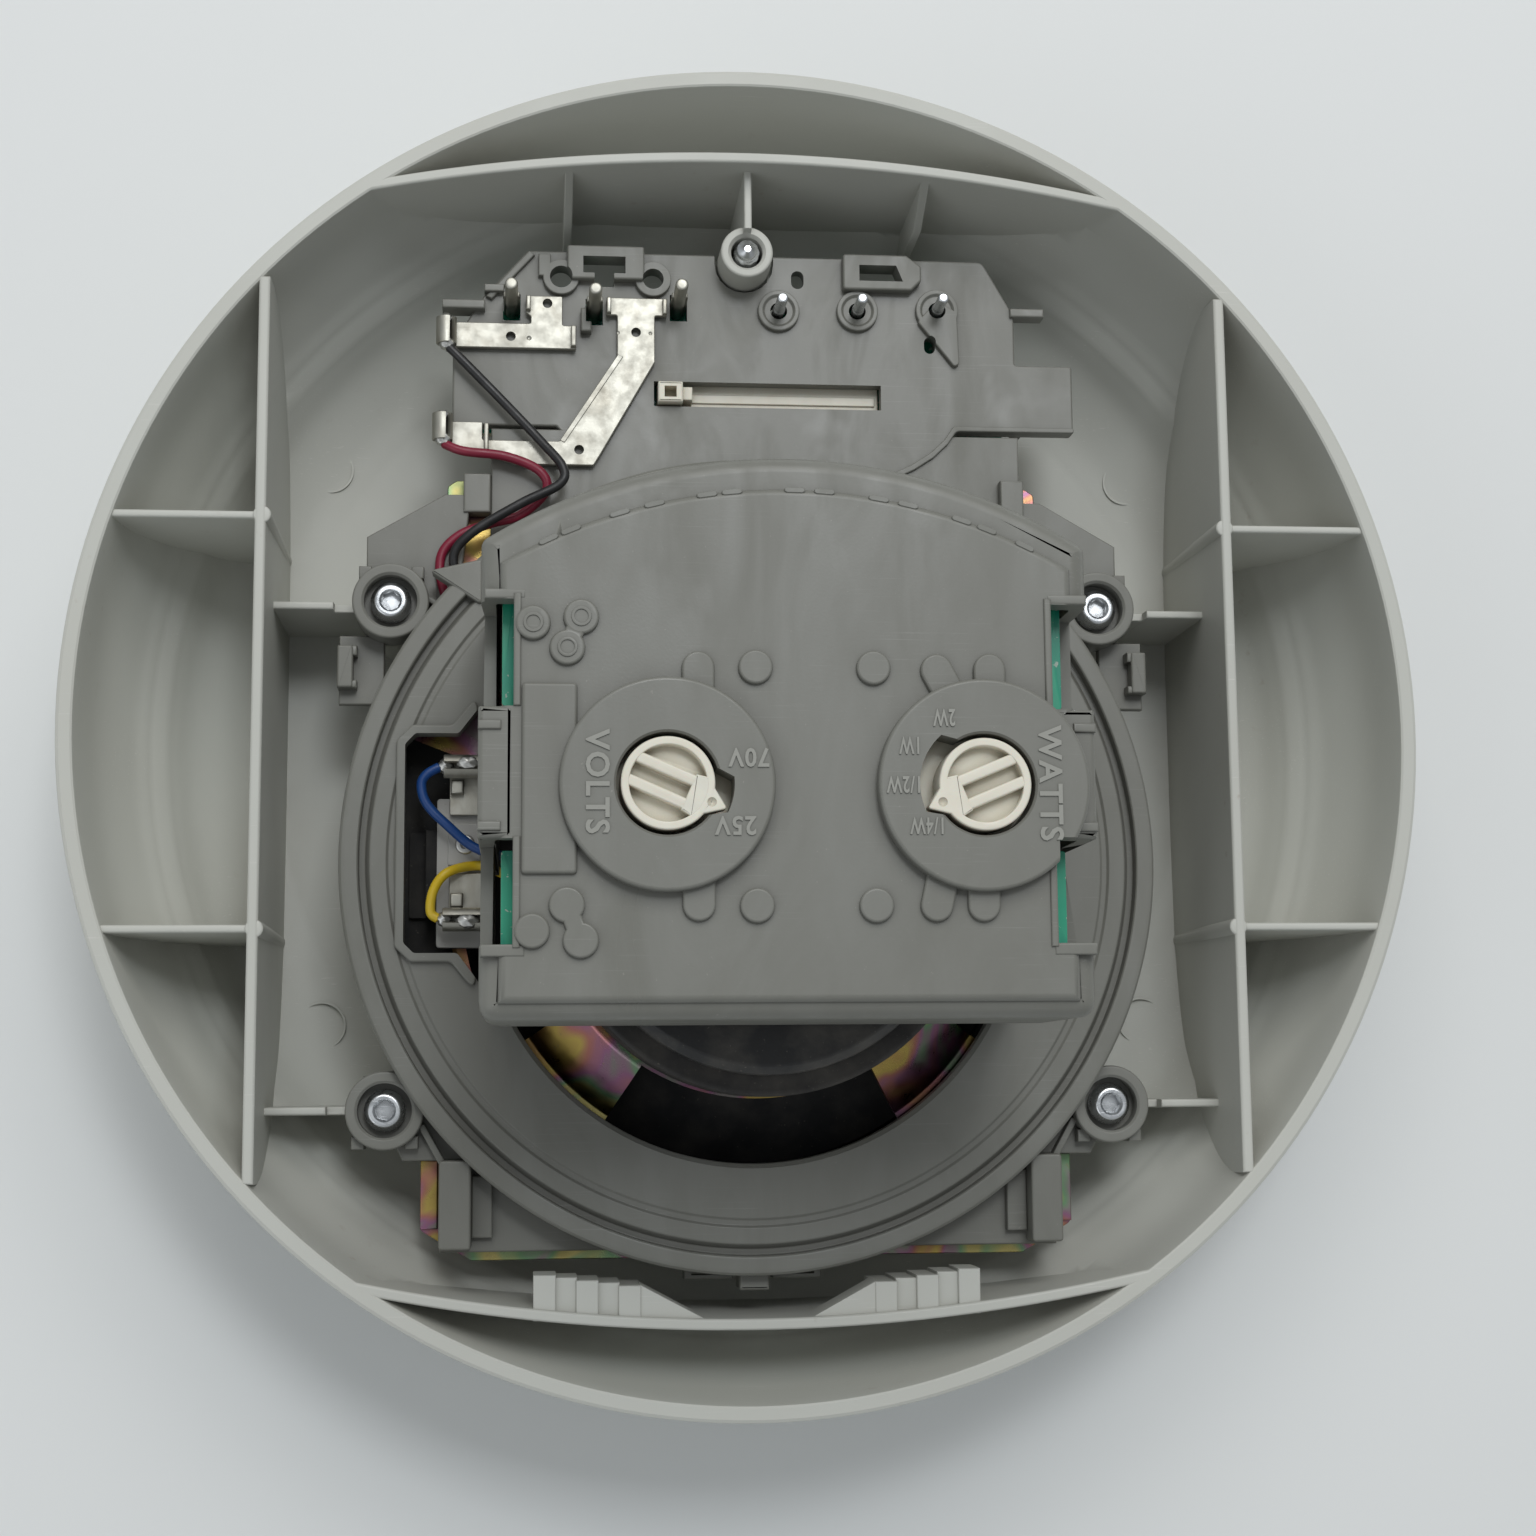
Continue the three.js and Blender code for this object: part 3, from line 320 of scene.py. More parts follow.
def clean(mesh):
    """Merges the slivers that cutting leaves, and joins faces that lie in one plane."""
    build = bmesh.new()
    build.from_mesh(mesh)
    bmesh.ops.remove_doubles(build, verts=build.verts, dist=2e-6)
    bmesh.ops.dissolve_degenerate(build, edges=build.edges, dist=1e-6)
    bmesh.ops.dissolve_limit(build, angle_limit=math.radians(0.2), verts=build.verts, edges=build.edges)
    build.to_mesh(mesh)
    build.free()


def as_solid(made):
    """An object's mesh as a closed solid in millimetres; the object goes."""
    points = [tuple(v.co / MM) for v in made.data.vertices]
    faces = [tuple(p.vertices) for p in made.data.polygons]
    bpy.data.objects.remove(made)
    return points, faces


def trim(made, beside, material, sharp=33):
    """A detail that belongs to a CAD node's piece but replaces nothing."""
    piece_nodes = [beside]
    for polygon in made.data.polygons:
        polygon.use_smooth = True
    made.data.set_sharp_from_angle(angle=math.radians(sharp))
    made.data.materials.clear()
    made.data.materials.append(material)
    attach(made, BODY_OF[piece_nodes[0]])
    return made


def piece(made, node, material, sharp=33, body=None):
    """Shades an object, gives it a material and puts it in a CAD node's place."""
    nodes = [node] if isinstance(node, str) else list(node)
    for polygon in made.data.polygons:
        polygon.use_smooth = True
    made.data.set_sharp_from_angle(angle=math.radians(sharp))
    weighted = made.modifiers.new("flat faces stay flat", "WEIGHTED_NORMAL")
    weighted.keep_sharp = True
    made.data.materials.clear()
    made.data.materials.append(material)
    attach(made, body or BODY_OF[nodes[0]])
    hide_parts(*nodes)
    return made


BODY_OF = {n: body for body, members in frame["record"]["behaviour"]["bodies"].items() for n in members}


# ------------------------------------------------------------------ materials

class Finish:
    """A node material that is built up in layers over one shader."""

    def __init__(self, name, colour, roughness, metallic=0.0):
        self.material = bpy.data.materials.new(name)
        self.material.use_nodes = True
        self.tree = self.material.node_tree
        self.shader = self.tree.nodes["Principled BSDF"]
        self.shader.inputs["Metallic"].default_value = metallic
        self.place = self.node("ShaderNodeTexCoord").outputs["Object"]
        self.colour = self.node("ShaderNodeRGB").outputs[0]
        self.colour.default_value = (*colour, 1)
        self.rough = self.node("ShaderNodeValue").outputs[0]
        self.rough.default_value = roughness
        self.bumps = []

    def node(self, kind, **values):
        made = self.tree.nodes.new(kind)
        for key, value in values.items():
            setattr(made, key, value)
        return made

    def link(self, output, socket):
        self.tree.links.new(output, socket)

    def noise(self, size, detail=4.0, stretch=(1, 1, 1), rough=0.55, twist=0.0, turn=0.0):
        """Noise whose grain is about size millimetres, drawn out along an axis by stretch."""
        mapping = self.node("ShaderNodeMapping")
        mapping.inputs["Scale"].default_value = [1 / s for s in stretch]
        mapping.inputs["Rotation"].default_value = (0, 0, math.radians(turn))
        self.link(self.place, mapping.inputs["Vector"])
        made = self.node("ShaderNodeTexNoise")
        made.inputs["Scale"].default_value = 1 / (size * MM)
        made.inputs["Detail"].default_value = detail
        made.inputs["Roughness"].default_value = rough
        made.inputs["Distortion"].default_value = twist
        self.link(mapping.outputs["Vector"], made.inputs["Vector"])
        return made.outputs["Fac"]

    def spread(self, value, low, high, to_low=0.0, to_high=1.0):
        made = self.node("ShaderNodeMapRange")
        for key, number in (("From Min", low), ("From Max", high), ("To Min", to_low), ("To Max", to_high)):
            made.inputs[key].default_value = number
        self.link(value, made.inputs["Value"])
        return made.outputs["Result"]

    def times(self, a, b, operation="MULTIPLY"):
        made = self.node("ShaderNodeMath", operation=operation)
        for socket, value in zip(made.inputs, (a, b)):
            if isinstance(value, (int, float)):
                socket.default_value = value
            else:
                self.link(value, socket)
        return made.outputs[0]

    def tint(self, mask, colour, blend="MIX"):
        """Lays a colour over what is there, where the mask is white."""
        made = self.node("ShaderNodeMix", data_type="RGBA", blend_type=blend)
        self.link(mask, made.inputs[0])
        self.link(self.colour, made.inputs[6])
        made.inputs[7].default_value = (*colour, 1)
        self.colour = made.outputs[2]
        return self

    def ramp(self, value, stops):
        made = self.node("ShaderNodeValToRGB")
        while len(made.color_ramp.elements) < len(stops):
            made.color_ramp.elements.new(0.5)
        for element, (position, colour) in zip(made.color_ramp.elements, stops):
            element.position = position
            element.color = (*colour, 1)
        self.link(value, made.inputs["Fac"])
        self.colour = made.outputs["Color"]
        return self

    def gloss(self, mask, roughness):
        """Brings the roughness to a new value where the mask is white."""
        made = self.node("ShaderNodeMix", data_type="FLOAT")
        self.link(mask, made.inputs[0])
        self.link(self.rough, made.inputs[2])
        made.inputs[3].default_value = roughness
        self.rough = made.outputs[0]
        return self

    def bump(self, height, depth, strength=1.0):
        """A relief whose depth is given in millimetres."""
        made = self.node("ShaderNodeBump")
        made.inputs["Strength"].default_value = strength
        made.inputs["Distance"].default_value = depth * MM
        self.link(height, made.inputs["Height"])
        if self.bumps:
            self.link(self.bumps[-1], made.inputs["Normal"])
        self.bumps.append(made.outputs["Normal"])
        return self

    def shade_in_hollows(self, reach, low=0.35, high=0.95):
        """A mask for painted shade: white in corners and crevices, black on open faces."""
        made = self.node("ShaderNodeAmbientOcclusion", samples=4)
        made.inputs["Distance"].default_value = reach * MM
        return self.spread(made.outputs["AO"], low, high, 1.0, 0.0)

    def scratches(self, size, turn, amount=0.62, length=40.0):
        """Thin straight marks that all run one way."""
        fine = self.noise(size, 2.0, (length, 1, 1), 0.5, 0.0, turn)
        patchy = self.noise(18, 2.0)
        lines = self.spread(fine, amount, amount + 0.05)
        return self.times(lines, self.spread(patchy, 0.48, 0.62))

    def worn(self, size, roughness, detail=4):
        """Patches with another roughness, over about half of the surface."""
        return self.gloss(self.spread(self.noise(size, detail), 0.4, 0.7), roughness)

    def mottled(self, size, detail, low, high, amount, colour):
        """Soft patches of another colour; amount is how strong they get."""
        return self.tint(self.spread(self.noise(size, detail), low, high, 0, amount), colour)

    def done(self, **sockets):
        self.link(self.colour, self.shader.inputs["Base Color"])
        self.link(self.rough, self.shader.inputs["Roughness"])
        if self.bumps:
            self.link(self.bumps[-1], self.shader.inputs["Normal"])
        for key, value in sockets.items():
            self.shader.inputs[key.replace("_", " ")].default_value = value
        return self.material


def cover_plastic():
    """Off-white moulded ABS, a little yellowed and handled."""
    f = Finish("cover_plastic", (0.555, 0.562, 0.518), 0.44)
    f.mottled(34, 3, 0.35, 0.75, 0.35, (0.50, 0.485, 0.43))
    # painted shade in corners and crevices, broken up by noise so that it also reads as grime
    f.tint(f.times(f.shade_in_hollows(5), f.spread(f.noise(7, 5), 0.3, 0.8, 0.15, 0.5)), (0.30, 0.285, 0.245))
    f.tint(f.times(f.spread(f.noise(2.2, 6), 0.63, 0.72), f.spread(f.noise(40, 2), 0.5, 0.7, 0, 0.5)),
           (0.36, 0.30, 0.24))
    f.tint(f.times(f.scratches(0.25, 20, 0.66), 0.35), (0.75, 0.73, 0.70))
    f.gloss(f.spread(f.noise(16, 4), 0.35, 0.7), 0.56)
    f.bump(f.noise(0.42, 3), 0.012, 0.55)
    f.bump(f.noise(30, 2), 0.22, 0.4)
    return f.done(Specular_IOR_Level=0.45)


def chassis_plastic():
    """Warm grey moulded plastic with flow marks, rubbed patches and fine scratches."""
    f = Finish("chassis_plastic", (0.184, 0.184, 0.162), 0.38)
    f.tint(f.spread(f.noise(12, 5, (1, 2.4, 1), 0.6, 1.4), 0.38, 0.72, 0, 0.5), (0.238, 0.240, 0.220))
    f.mottled(60, 2, 0.4, 0.65, 0.35, (0.152, 0.150, 0.130))
    # painted shade: near-black darkening in corners and crevices
    f.tint(f.times(f.shade_in_hollows(2.6), 0.36), (0.085, 0.08, 0.07))
    for turn in (75, 118):
        f.tint(f.times(f.scratches(0.22, turn, 0.66, 60), 0.14), (0.42, 0.42, 0.40))
    f.tint(f.times(f.spread(f.noise(0.5, 4), 0.70, 0.76), 0.3), (0.42, 0.40, 0.36))
    f.gloss(f.spread(f.noise(9, 4, (1, 3, 1), 0.6, 1.0), 0.4, 0.68), 0.54)
    f.gloss(f.spread(f.noise(22, 4, (1, 2, 1), 0.6, 0.8), 0.54, 0.66), 0.27)
    f.bump(f.noise(0.35, 3), 0.012, 0.5)
    f.bump(f.noise(7, 3, (1, 2, 1)), 0.05, 0.35)
    return f.done(Specular_IOR_Level=0.5)


def ivory_plastic():
    f = Finish("ivory_plastic", (0.78, 0.745, 0.64), 0.42)
    f.mottled(3, 4, 0.4, 0.75, 0.4, (0.68, 0.63, 0.50))
    # painted shade: a darker brown in corners and crevices
    f.tint(f.times(f.shade_in_hollows(1.2), 0.7), (0.30, 0.26, 0.18))
    f.worn(1.4, 0.55, 3)
    f.bump(f.noise(0.3, 2), 0.008, 0.5)
    return f.done(Subsurface_Weight=0.06, Subsurface_Scale=0.002)


def solder_mask():
    """Green board with faint copper tracks under the lacquer."""
    f = Finish("board", (0.012, 0.30, 0.19), 0.28)
    tracks = f.spread(f.noise(2.6, 1, (1, 6, 1), 0.4, 0.3), 0.48, 0.52)
    f.tint(f.times(tracks, 0.6), (0.03, 0.42, 0.24))
    f.mottled(0.8, 2, 0.66, 0.69, 0.7, (0.55, 0.56, 0.50))
    f.worn(5, 0.42, 3)
    f.bump(tracks, 0.03, 0.6)
    return f.done(Coat_Weight=0.3, Coat_Roughness=0.12)


def glass_epoxy():
    f = Finish("board_edge", (0.62, 0.60, 0.42), 0.6)
    f.tint(f.spread(f.noise(0.5, 4, (1, 1, 0.2)), 0.4, 0.7, 0, 0.6), (0.42, 0.42, 0.24))
    f.bump(f.noise(0.25, 3), 0.02)
    return f.done()


def plated(name, colour, roughness, stain, size=3.0):
    """Bright plated metal with smears, pits and handling marks."""
    f = Finish(name, colour, roughness, 1.0)
    f.tint(f.spread(f.noise(size, 5, (1, 1.8, 1), 0.6, 0.8), 0.45, 0.72, 0, 0.5), stain)
    # painted shade: a darker copy of the metal's own colour in corners and crevices
    f.tint(f.times(f.shade_in_hollows(0.8), 0.6), tuple(c * 0.3 for c in colour))
    f.worn(size * 0.6, min(0.6, roughness + 0.2))
    f.gloss(f.scratches(0.12, 65, 0.62, 30), 0.5)
    f.bump(f.noise(0.25, 3), 0.01, 0.5)
    f.bump(f.noise(1.6, 3), 0.03, 0.4)
    return f.done()


def rainbow_zinc():
    """Yellow zinc passivate, which shades from gold to violet and green."""
    f = Finish("yellow_zinc", (0.7, 0.55, 0.2), 0.27, 1.0)
    f.ramp(f.spread(f.noise(13, 2.5, (1, 1, 1), 0.5, 0.9), 0.34, 0.66), [
        (0.0, (0.50, 0.30, 0.12)), (0.30, (0.56, 0.42, 0.12)), (0.48, (0.46, 0.20, 0.16)),
        (0.62, (0.36, 0.17, 0.28)), (0.80, (0.20, 0.36, 0.20)), (1.0, (0.54, 0.46, 0.18))])
    # painted shade: dark brown in corners and crevices
    f.tint(f.times(f.shade_in_hollows(2), 0.5), (0.10, 0.08, 0.04))
    f.mottled(1.2, 4, 0.66, 0.74, 0.5, (0.30, 0.24, 0.14))
    f.worn(4, 0.45)
    f.bump(f.noise(0.3, 3), 0.012, 0.6)
    return f.done()


def dull(name, colour, roughness, dust=(0.30, 0.27, 0.22), amount=0.35, metallic=0.0, grain=0.5):
    """A dark matt surface with dust on it."""
    f = Finish(name, colour, roughness, metallic)
    f.mottled(6, 4, 0.42, 0.75, amount * 0.5, dust)
    f.mottled(0.45, 5, 0.66, 0.74, amount, dust)
    f.worn(5, min(1.0, roughness + 0.15), 3)
    f.bump(f.noise(grain, 4), 0.03, 0.6)
    return f.done()


def woven(name, colour, thread, roughness=0.9, pitch=0.6):
    """Cloth of crossing threads."""
    f = Finish(name, colour, roughness)
    relief = None
    for axis in ("X", "Y"):
        wave = f.node("ShaderNodeTexWave", wave_type="BANDS", bands_direction=axis)
        wave.inputs["Scale"].default_value = 1 / (pitch * MM) / 3.1416
        f.link(f.place, wave.inputs["Vector"])
        relief = wave.outputs["Fac"] if relief is None else f.times(relief, wave.outputs["Fac"], "MAXIMUM")
    f.tint(f.spread(relief, 0.35, 0.9, 0, 0.8), thread)
    f.mottled(6, 4, 0.4, 0.75, 0.3, tuple(c * 0.6 for c in thread))
    f.bump(relief, 0.08)
    return f.done(Sheen_Weight=0.2)


def sleeve_vinyl(name, colour, pale):
    """Wire insulation: soft gloss, a little dirt, a lighter bloom."""
    f = Finish(name, colour, 0.34)
    f.mottled(2.5, 4, 0.45, 0.75, 0.4, pale)
    f.worn(1.5, 0.5, 3)
    f.bump(f.noise(0.5, 3), 0.02, 0.5)
    return f.done(Subsurface_Weight=0.03, Subsurface_Scale=0.001)


def clear_plastic(name, colour, roughness):
    f = Finish(name, colour, roughness)
    f.gloss(f.spread(f.noise(4, 4), 0.5, 0.75, 0, 0.6), roughness + 0.12)
    f.mottled(3, 4, 0.5, 0.8, 0.25, tuple(c * 0.8 for c in colour))
    f.bump(f.noise(2.5, 2), 0.02, 0.3)
    return f.done(Transmission_Weight=0.93, IOR=1.58)


MATERIAL = {
    "cover": cover_plastic(),
    "chassis": chassis_plastic(),
    "letters": dull("dial_letters", (0.30, 0.30, 0.27), 0.42, (0.40, 0.39, 0.35), 0.3),
    "ivory": ivory_plastic(),
    "board": solder_mask(),
    "edge": glass_epoxy(),
    "nickel": plated("nickel", (0.50, 0.49, 0.435), 0.44, (0.34, 0.31, 0.25)),
    "zinc": plated("bright_zinc", (0.74, 0.76, 0.78), 0.22, (0.55, 0.57, 0.58)),
    "solder": plated("solder", (0.66, 0.66, 0.64), 0.30, (0.42, 0.40, 0.36), 1.2),
    "rainbow": rainbow_zinc(),
    "steel_dark": plated("laminations", (0.28, 0.29, 0.31), 0.38, (0.30, 0.20, 0.14)),
    "ferrite": dull("magnet_black", (0.022, 0.020, 0.019), 0.55),
    "yoke": dull("black_paint", (0.020, 0.020, 0.021), 0.34, amount=0.45),
    "paper": dull("paper_black", (0.012, 0.012, 0.013), 0.85, amount=0.2, grain=1.1),
    "foam": dull("foam_black", (0.020, 0.020, 0.020), 0.9, amount=0.2, grain=0.7),
    "switch": dull("black_plastic", (0.018, 0.018, 0.020), 0.45, amount=0.2),
    "fibre": dull("fibre_board", (0.46, 0.455, 0.43), 0.6, (0.30, 0.28, 0.24), 0.4),
    "film": dull("winding_tape", (0.62, 0.38, 0.07), 0.30, (0.45, 0.28, 0.06), 0.5),
    "copper": plated("copper_coil", (0.62, 0.24, 0.10), 0.35, (0.40, 0.14, 0.06), 1.0),
    "sleeve": dull("sleeve", (0.02, 0.022, 0.03), 0.28, (0.10, 0.10, 0.12), 0.4),
    "amber": woven("spider_cloth", (0.42, 0.24, 0.06), (0.60, 0.38, 0.12)),
    "screen": woven("screen_cloth", (0.01, 0.01, 0.011), (0.05, 0.05, 0.052), pitch=0.9),
    "mirror": plated("reflector", (0.90, 0.91, 0.92), 0.08, (0.80, 0.81, 0.82), 8.0),
    "clear": clear_plastic("clear_lens", (0.92, 0.95, 0.96), 0.07),
    "tube_glass": clear_plastic("tube_glass", (0.97, 0.98, 0.98), 0.02),
    "wire_black": sleeve_vinyl("wire_black", (0.014, 0.014, 0.015), (0.05, 0.05, 0.05)),
    "wire_red": sleeve_vinyl("wire_red", (0.20, 0.008, 0.030), (0.30, 0.03, 0.06)),
    "wire_blue": sleeve_vinyl("wire_blue", (0.008, 0.055, 0.22), (0.02, 0.09, 0.28)),
    "wire_yellow": sleeve_vinyl("wire_yellow", (0.72, 0.50, 0.02), (0.62, 0.50, 0.10)),
}


# ------------------------------------------------------------------ front cover

RIM = corners("front_cover")[1].x                       # outer radius of the rim
FRONT = -31.0                            # outside of the flat front
FLOOR = -28.0                            # inside of the flat front
AXIS = (corners("magnet")[0] + corners("magnet")[1]) / 2     # the loudspeaker's axis
SPEAKER_Y = round(AXIS.y, 2)
SCREWS = [tuple(round(c,
                      2) for c in ((corners(f"chassis_screw_{i}")[0] + corners(f"chassis_screw_{i}")[1]) / 2)[:2])
          for i in (1, 2, 3, 4)]
SIDE_WALL = 62.06
ARCH = 235.0                             # radius of the arched walls
ARCH_TOP = 74.6
PILLAR_Y = 63.6
LENS_LOW, LENS_HIGH = corners("strobe_lens")


def front_cover():
    outside = smooth([(62, FRONT), (67.8, -30.1), (74.4, -26.6), (80.7, -19.4), (85.1, -9.4), (RIM, -0.6)],
                     6)
    ledge = [(77.9, -18.2), (77.3, -19.1), (76.1, -19.9), (75.5, -21.0)]
    inside = smooth([(RIM - 2.2, -0.5), (82.8, -9), (79.9, -15.4), ledge[0]], 5)
    inside += ledge[1:3] + smooth([ledge[3], (72.5, -24.6), (67, -27.2), (62, FLOOR)], 5)
    rim_round = [(RIM - 0.12, -0.22), (RIM - 0.5, 0.0), (RIM - 1.85, 0.0), (RIM - 2.1, -0.15)]
    shell = lathe([(0, FRONT)] + outside + rim_round + inside + [(0, FLOOR)], segments=192)

    walls = []
    for side in (-1, 1):
        x = side * SIDE_WALL
        walls.append(block(x - 0.7, x + 0.7, -57, 57, FRONT, 0.0, top=0.4, draft=0.5))
        near = side * (SIDE_WALL - 0.7)
        far = side * (RIM - 1.4)
        for y in (-26, 26):
            walls.append(block(min(near, far), max(near, far), y - 0.5, y + 0.5, FRONT, -0.4, top=0.35,
                               draft=0.3))
            walls.append(post(near + side * 0.5, y, 1.15, FRONT, -0.08, top=0.3, steps=20))
        centre = side * (ARCH_TOP - ARCH)
        middle = 90 * side
        outer = arc(0, centre, ARCH + 0.7, middle - 12.5, middle + 12.5, 40)
        inner = arc(0, centre, ARCH - 0.7, middle + 12.5, middle - 12.5, 40)
        walls.append(slab(outer + inner, FRONT, 0.0, top=0.4, draft=0.5))

    fittings = []
    seat = -11.8
    for x, y in SCREWS:
        out = 1 if x > 0 else -1
        fittings.append(post(x, y, 3.6, FRONT, seat, top=0.3, draft=0.3))
        wall = out * SIDE_WALL
        fittings.append(block(min(x, wall), max(x, wall), y - 0.5, y + 0.5, FRONT, seat, top=0.2,
                              draft=0.25))
        end = x + out * 7.5
        fittings.append(block(min(end, wall), max(end, wall), y - 0.5, y + 0.5, FRONT, -9.6, top=0.3,
                              draft=0.25))
    fittings.append(ring(0, SPEAKER_Y, 44.5, 46.3, FRONT, -15.9, 0.3))
    fittings.append(post(0, PILLAR_Y, 3.45, FRONT, -5.0, top=0.35, draft=0.5))
    fittings.append(block(-0.5, 0.5, PILLAR_Y + 2, 76, FRONT, -3.2, top=0.3, draft=0.2))
    for side in (-1, 1):
        x = side * 23.5
        fin = [(74.5, -1.6), (73.0, -1.6), (68.6, -9.4), (68.4, FRONT), (74.5, FRONT)]
        fin_solid = slab(fin, -0.55, 0.55, top=0.2, foot=0.2)
        fittings.append(swapped(fin_solid, lambda px, py, pz, x=x: (x + pz, px, py)))
        # the stepped finger block, which runs out to a point
        for tread in range(5):
            outer = 27.6 - 2.6 * tread
            y1 = -68.3 - 0.35 * tread
            high = -0.5 - 0.55 * (tread % 2)
            lows = sorted((side * (outer - 2.75), side * outer))
            fittings.append(block(lows[0], lows[1], -73.8, y1, -7.5 - 0.8 * tread, high, top=0.22))
        wedge = [(side * 14.6, -73.9), (side * 6.6, -73.9), (side * 14.6, -69.6)]
        fittings.append(slab(wedge, -6.5, -0.7, top=0.2))
    # walls and fittings end inside the thickness of the shell
    hidden = 0.4
    trim_outside = [(r - hidden, z + hidden) for r, z in outside if r < 84.6] + [(84.4, -9.0), (84.9, 0.0)]
    keep = lathe([(0, FRONT + hidden)] + trim_outside + [(0, 0.0)], segments=192)
    fitted = as_solid(carved("cover_walls", walls + fittings, within=[keep]))

    foot = as_solid(carved("pillar_foot", [post(0, PILLAR_Y, 6, FRONT + 0.4, -23, top=1.2)],
                           within=[lathe([(0, FRONT + hidden)] + trim_outside + [(0, 0.0)], segments=96)]))
    bezel = slab(fillet(rect(LENS_LOW.x - 0.6, LENS_HIGH.x + 0.6, 35.9, 56.1), 2.2),
                 FRONT - 0.7, FRONT + 0.6, top=0.0, foot=0.5)
    rings = [ring(x, y, 2.9, 3.2, z - 0.3, z + 0.07, 0.05, 48)
             for x, y, z in ((-55.7, -37.1, -27.2), (-55.7, 38.9, -27.4), (55.7, -37.1, -27.2),
                             (55.7, 38.9, -27.4))]

    cuts = []
    for row in range(-7, 8):
        y = SPEAKER_Y + row * 5.2
        half = math.sqrt(40 ** 2 - (row * 5.2) ** 2)
        for side in (-1, 1):
            ends = sorted((side * 1.9, side * (half - 1.15)))
            cuts.append(slab(pill((ends[0], y), (ends[1], y), 1.15, 6), FRONT - 1, FLOOR + 0.2, top=0))
    window = rect(-17, 17, 37.5, 54.5)
    cuts.append(slab(window, FRONT - 3, FLOOR + 1, top=0))
    for x, y in SCREWS:
        cuts.append(post(x, y, 1.85, -25.5, 0, top=0))
    cuts.append(lathe([(0, -30), (2.1, -30), (2.1, -5.5), (2.6, -4.9), (2.6, 0), (0, 0)], 0, PILLAR_Y, 48))
    cuts.append(post(0, PILLAR_Y, 4.3, FRONT - 1, -25.5, top=0))
    cover = carved("front_cover_shell", [shell, fitted, foot, bezel] + rings, cuts)
    return piece(cover, "front_cover", MATERIAL["cover"], 30)


front_cover()

# ------------------------------------------------------------------ rear chassis

CHASSIS_Y = -17.0
DECK, UNDER, FOOT = -4.0, -6.5, -11.5
OPENING = 34.3
MODULE = -10.0                           # the contact module's face
CONTACTS = [(-30.9, 57.0), (-20.0, 56.6), (-8.8, 57.4)]
GUIDES = [(4.6, 57.1), (15.2, 57.3), (26.0, 57.6)]


def chassis_cup():
    """The round cup over the loudspeaker, with its bead, groove and deck."""
    profile = fillet([
        (30, UNDER, 0), (47.4, UNDER, 0), (47.4, FOOT, 0), (52.1, FOOT, 0.2), (52.1, DECK + 0.5, 0.9),
        (49.6, DECK + 0.5, 0.45), (49.6, DECK - 1.2, 0.2), (48.8, DECK - 1.2, 0.2), (48.2, DECK, 0.35),
        (46.2, DECK, 0.2), (45.9, DECK - 0.3, 0.2), (45.3, DECK - 0.3, 0.2), (45.0, DECK, 0.2),
        (30, DECK, 0),
    ], 0.3, 3)
    return lathe(profile, 0, CHASSIS_Y, 192)


def clear_of_cup(name, outline, z1, top=0.25):
    """A flat web that stops at the cup's wall."""
    return as_solid(carved(name, [slab(outline, FOOT, z1, top)],
                           [post(0, CHASSIS_Y, 49, FOOT - 1, 0, 0, steps=96)]))


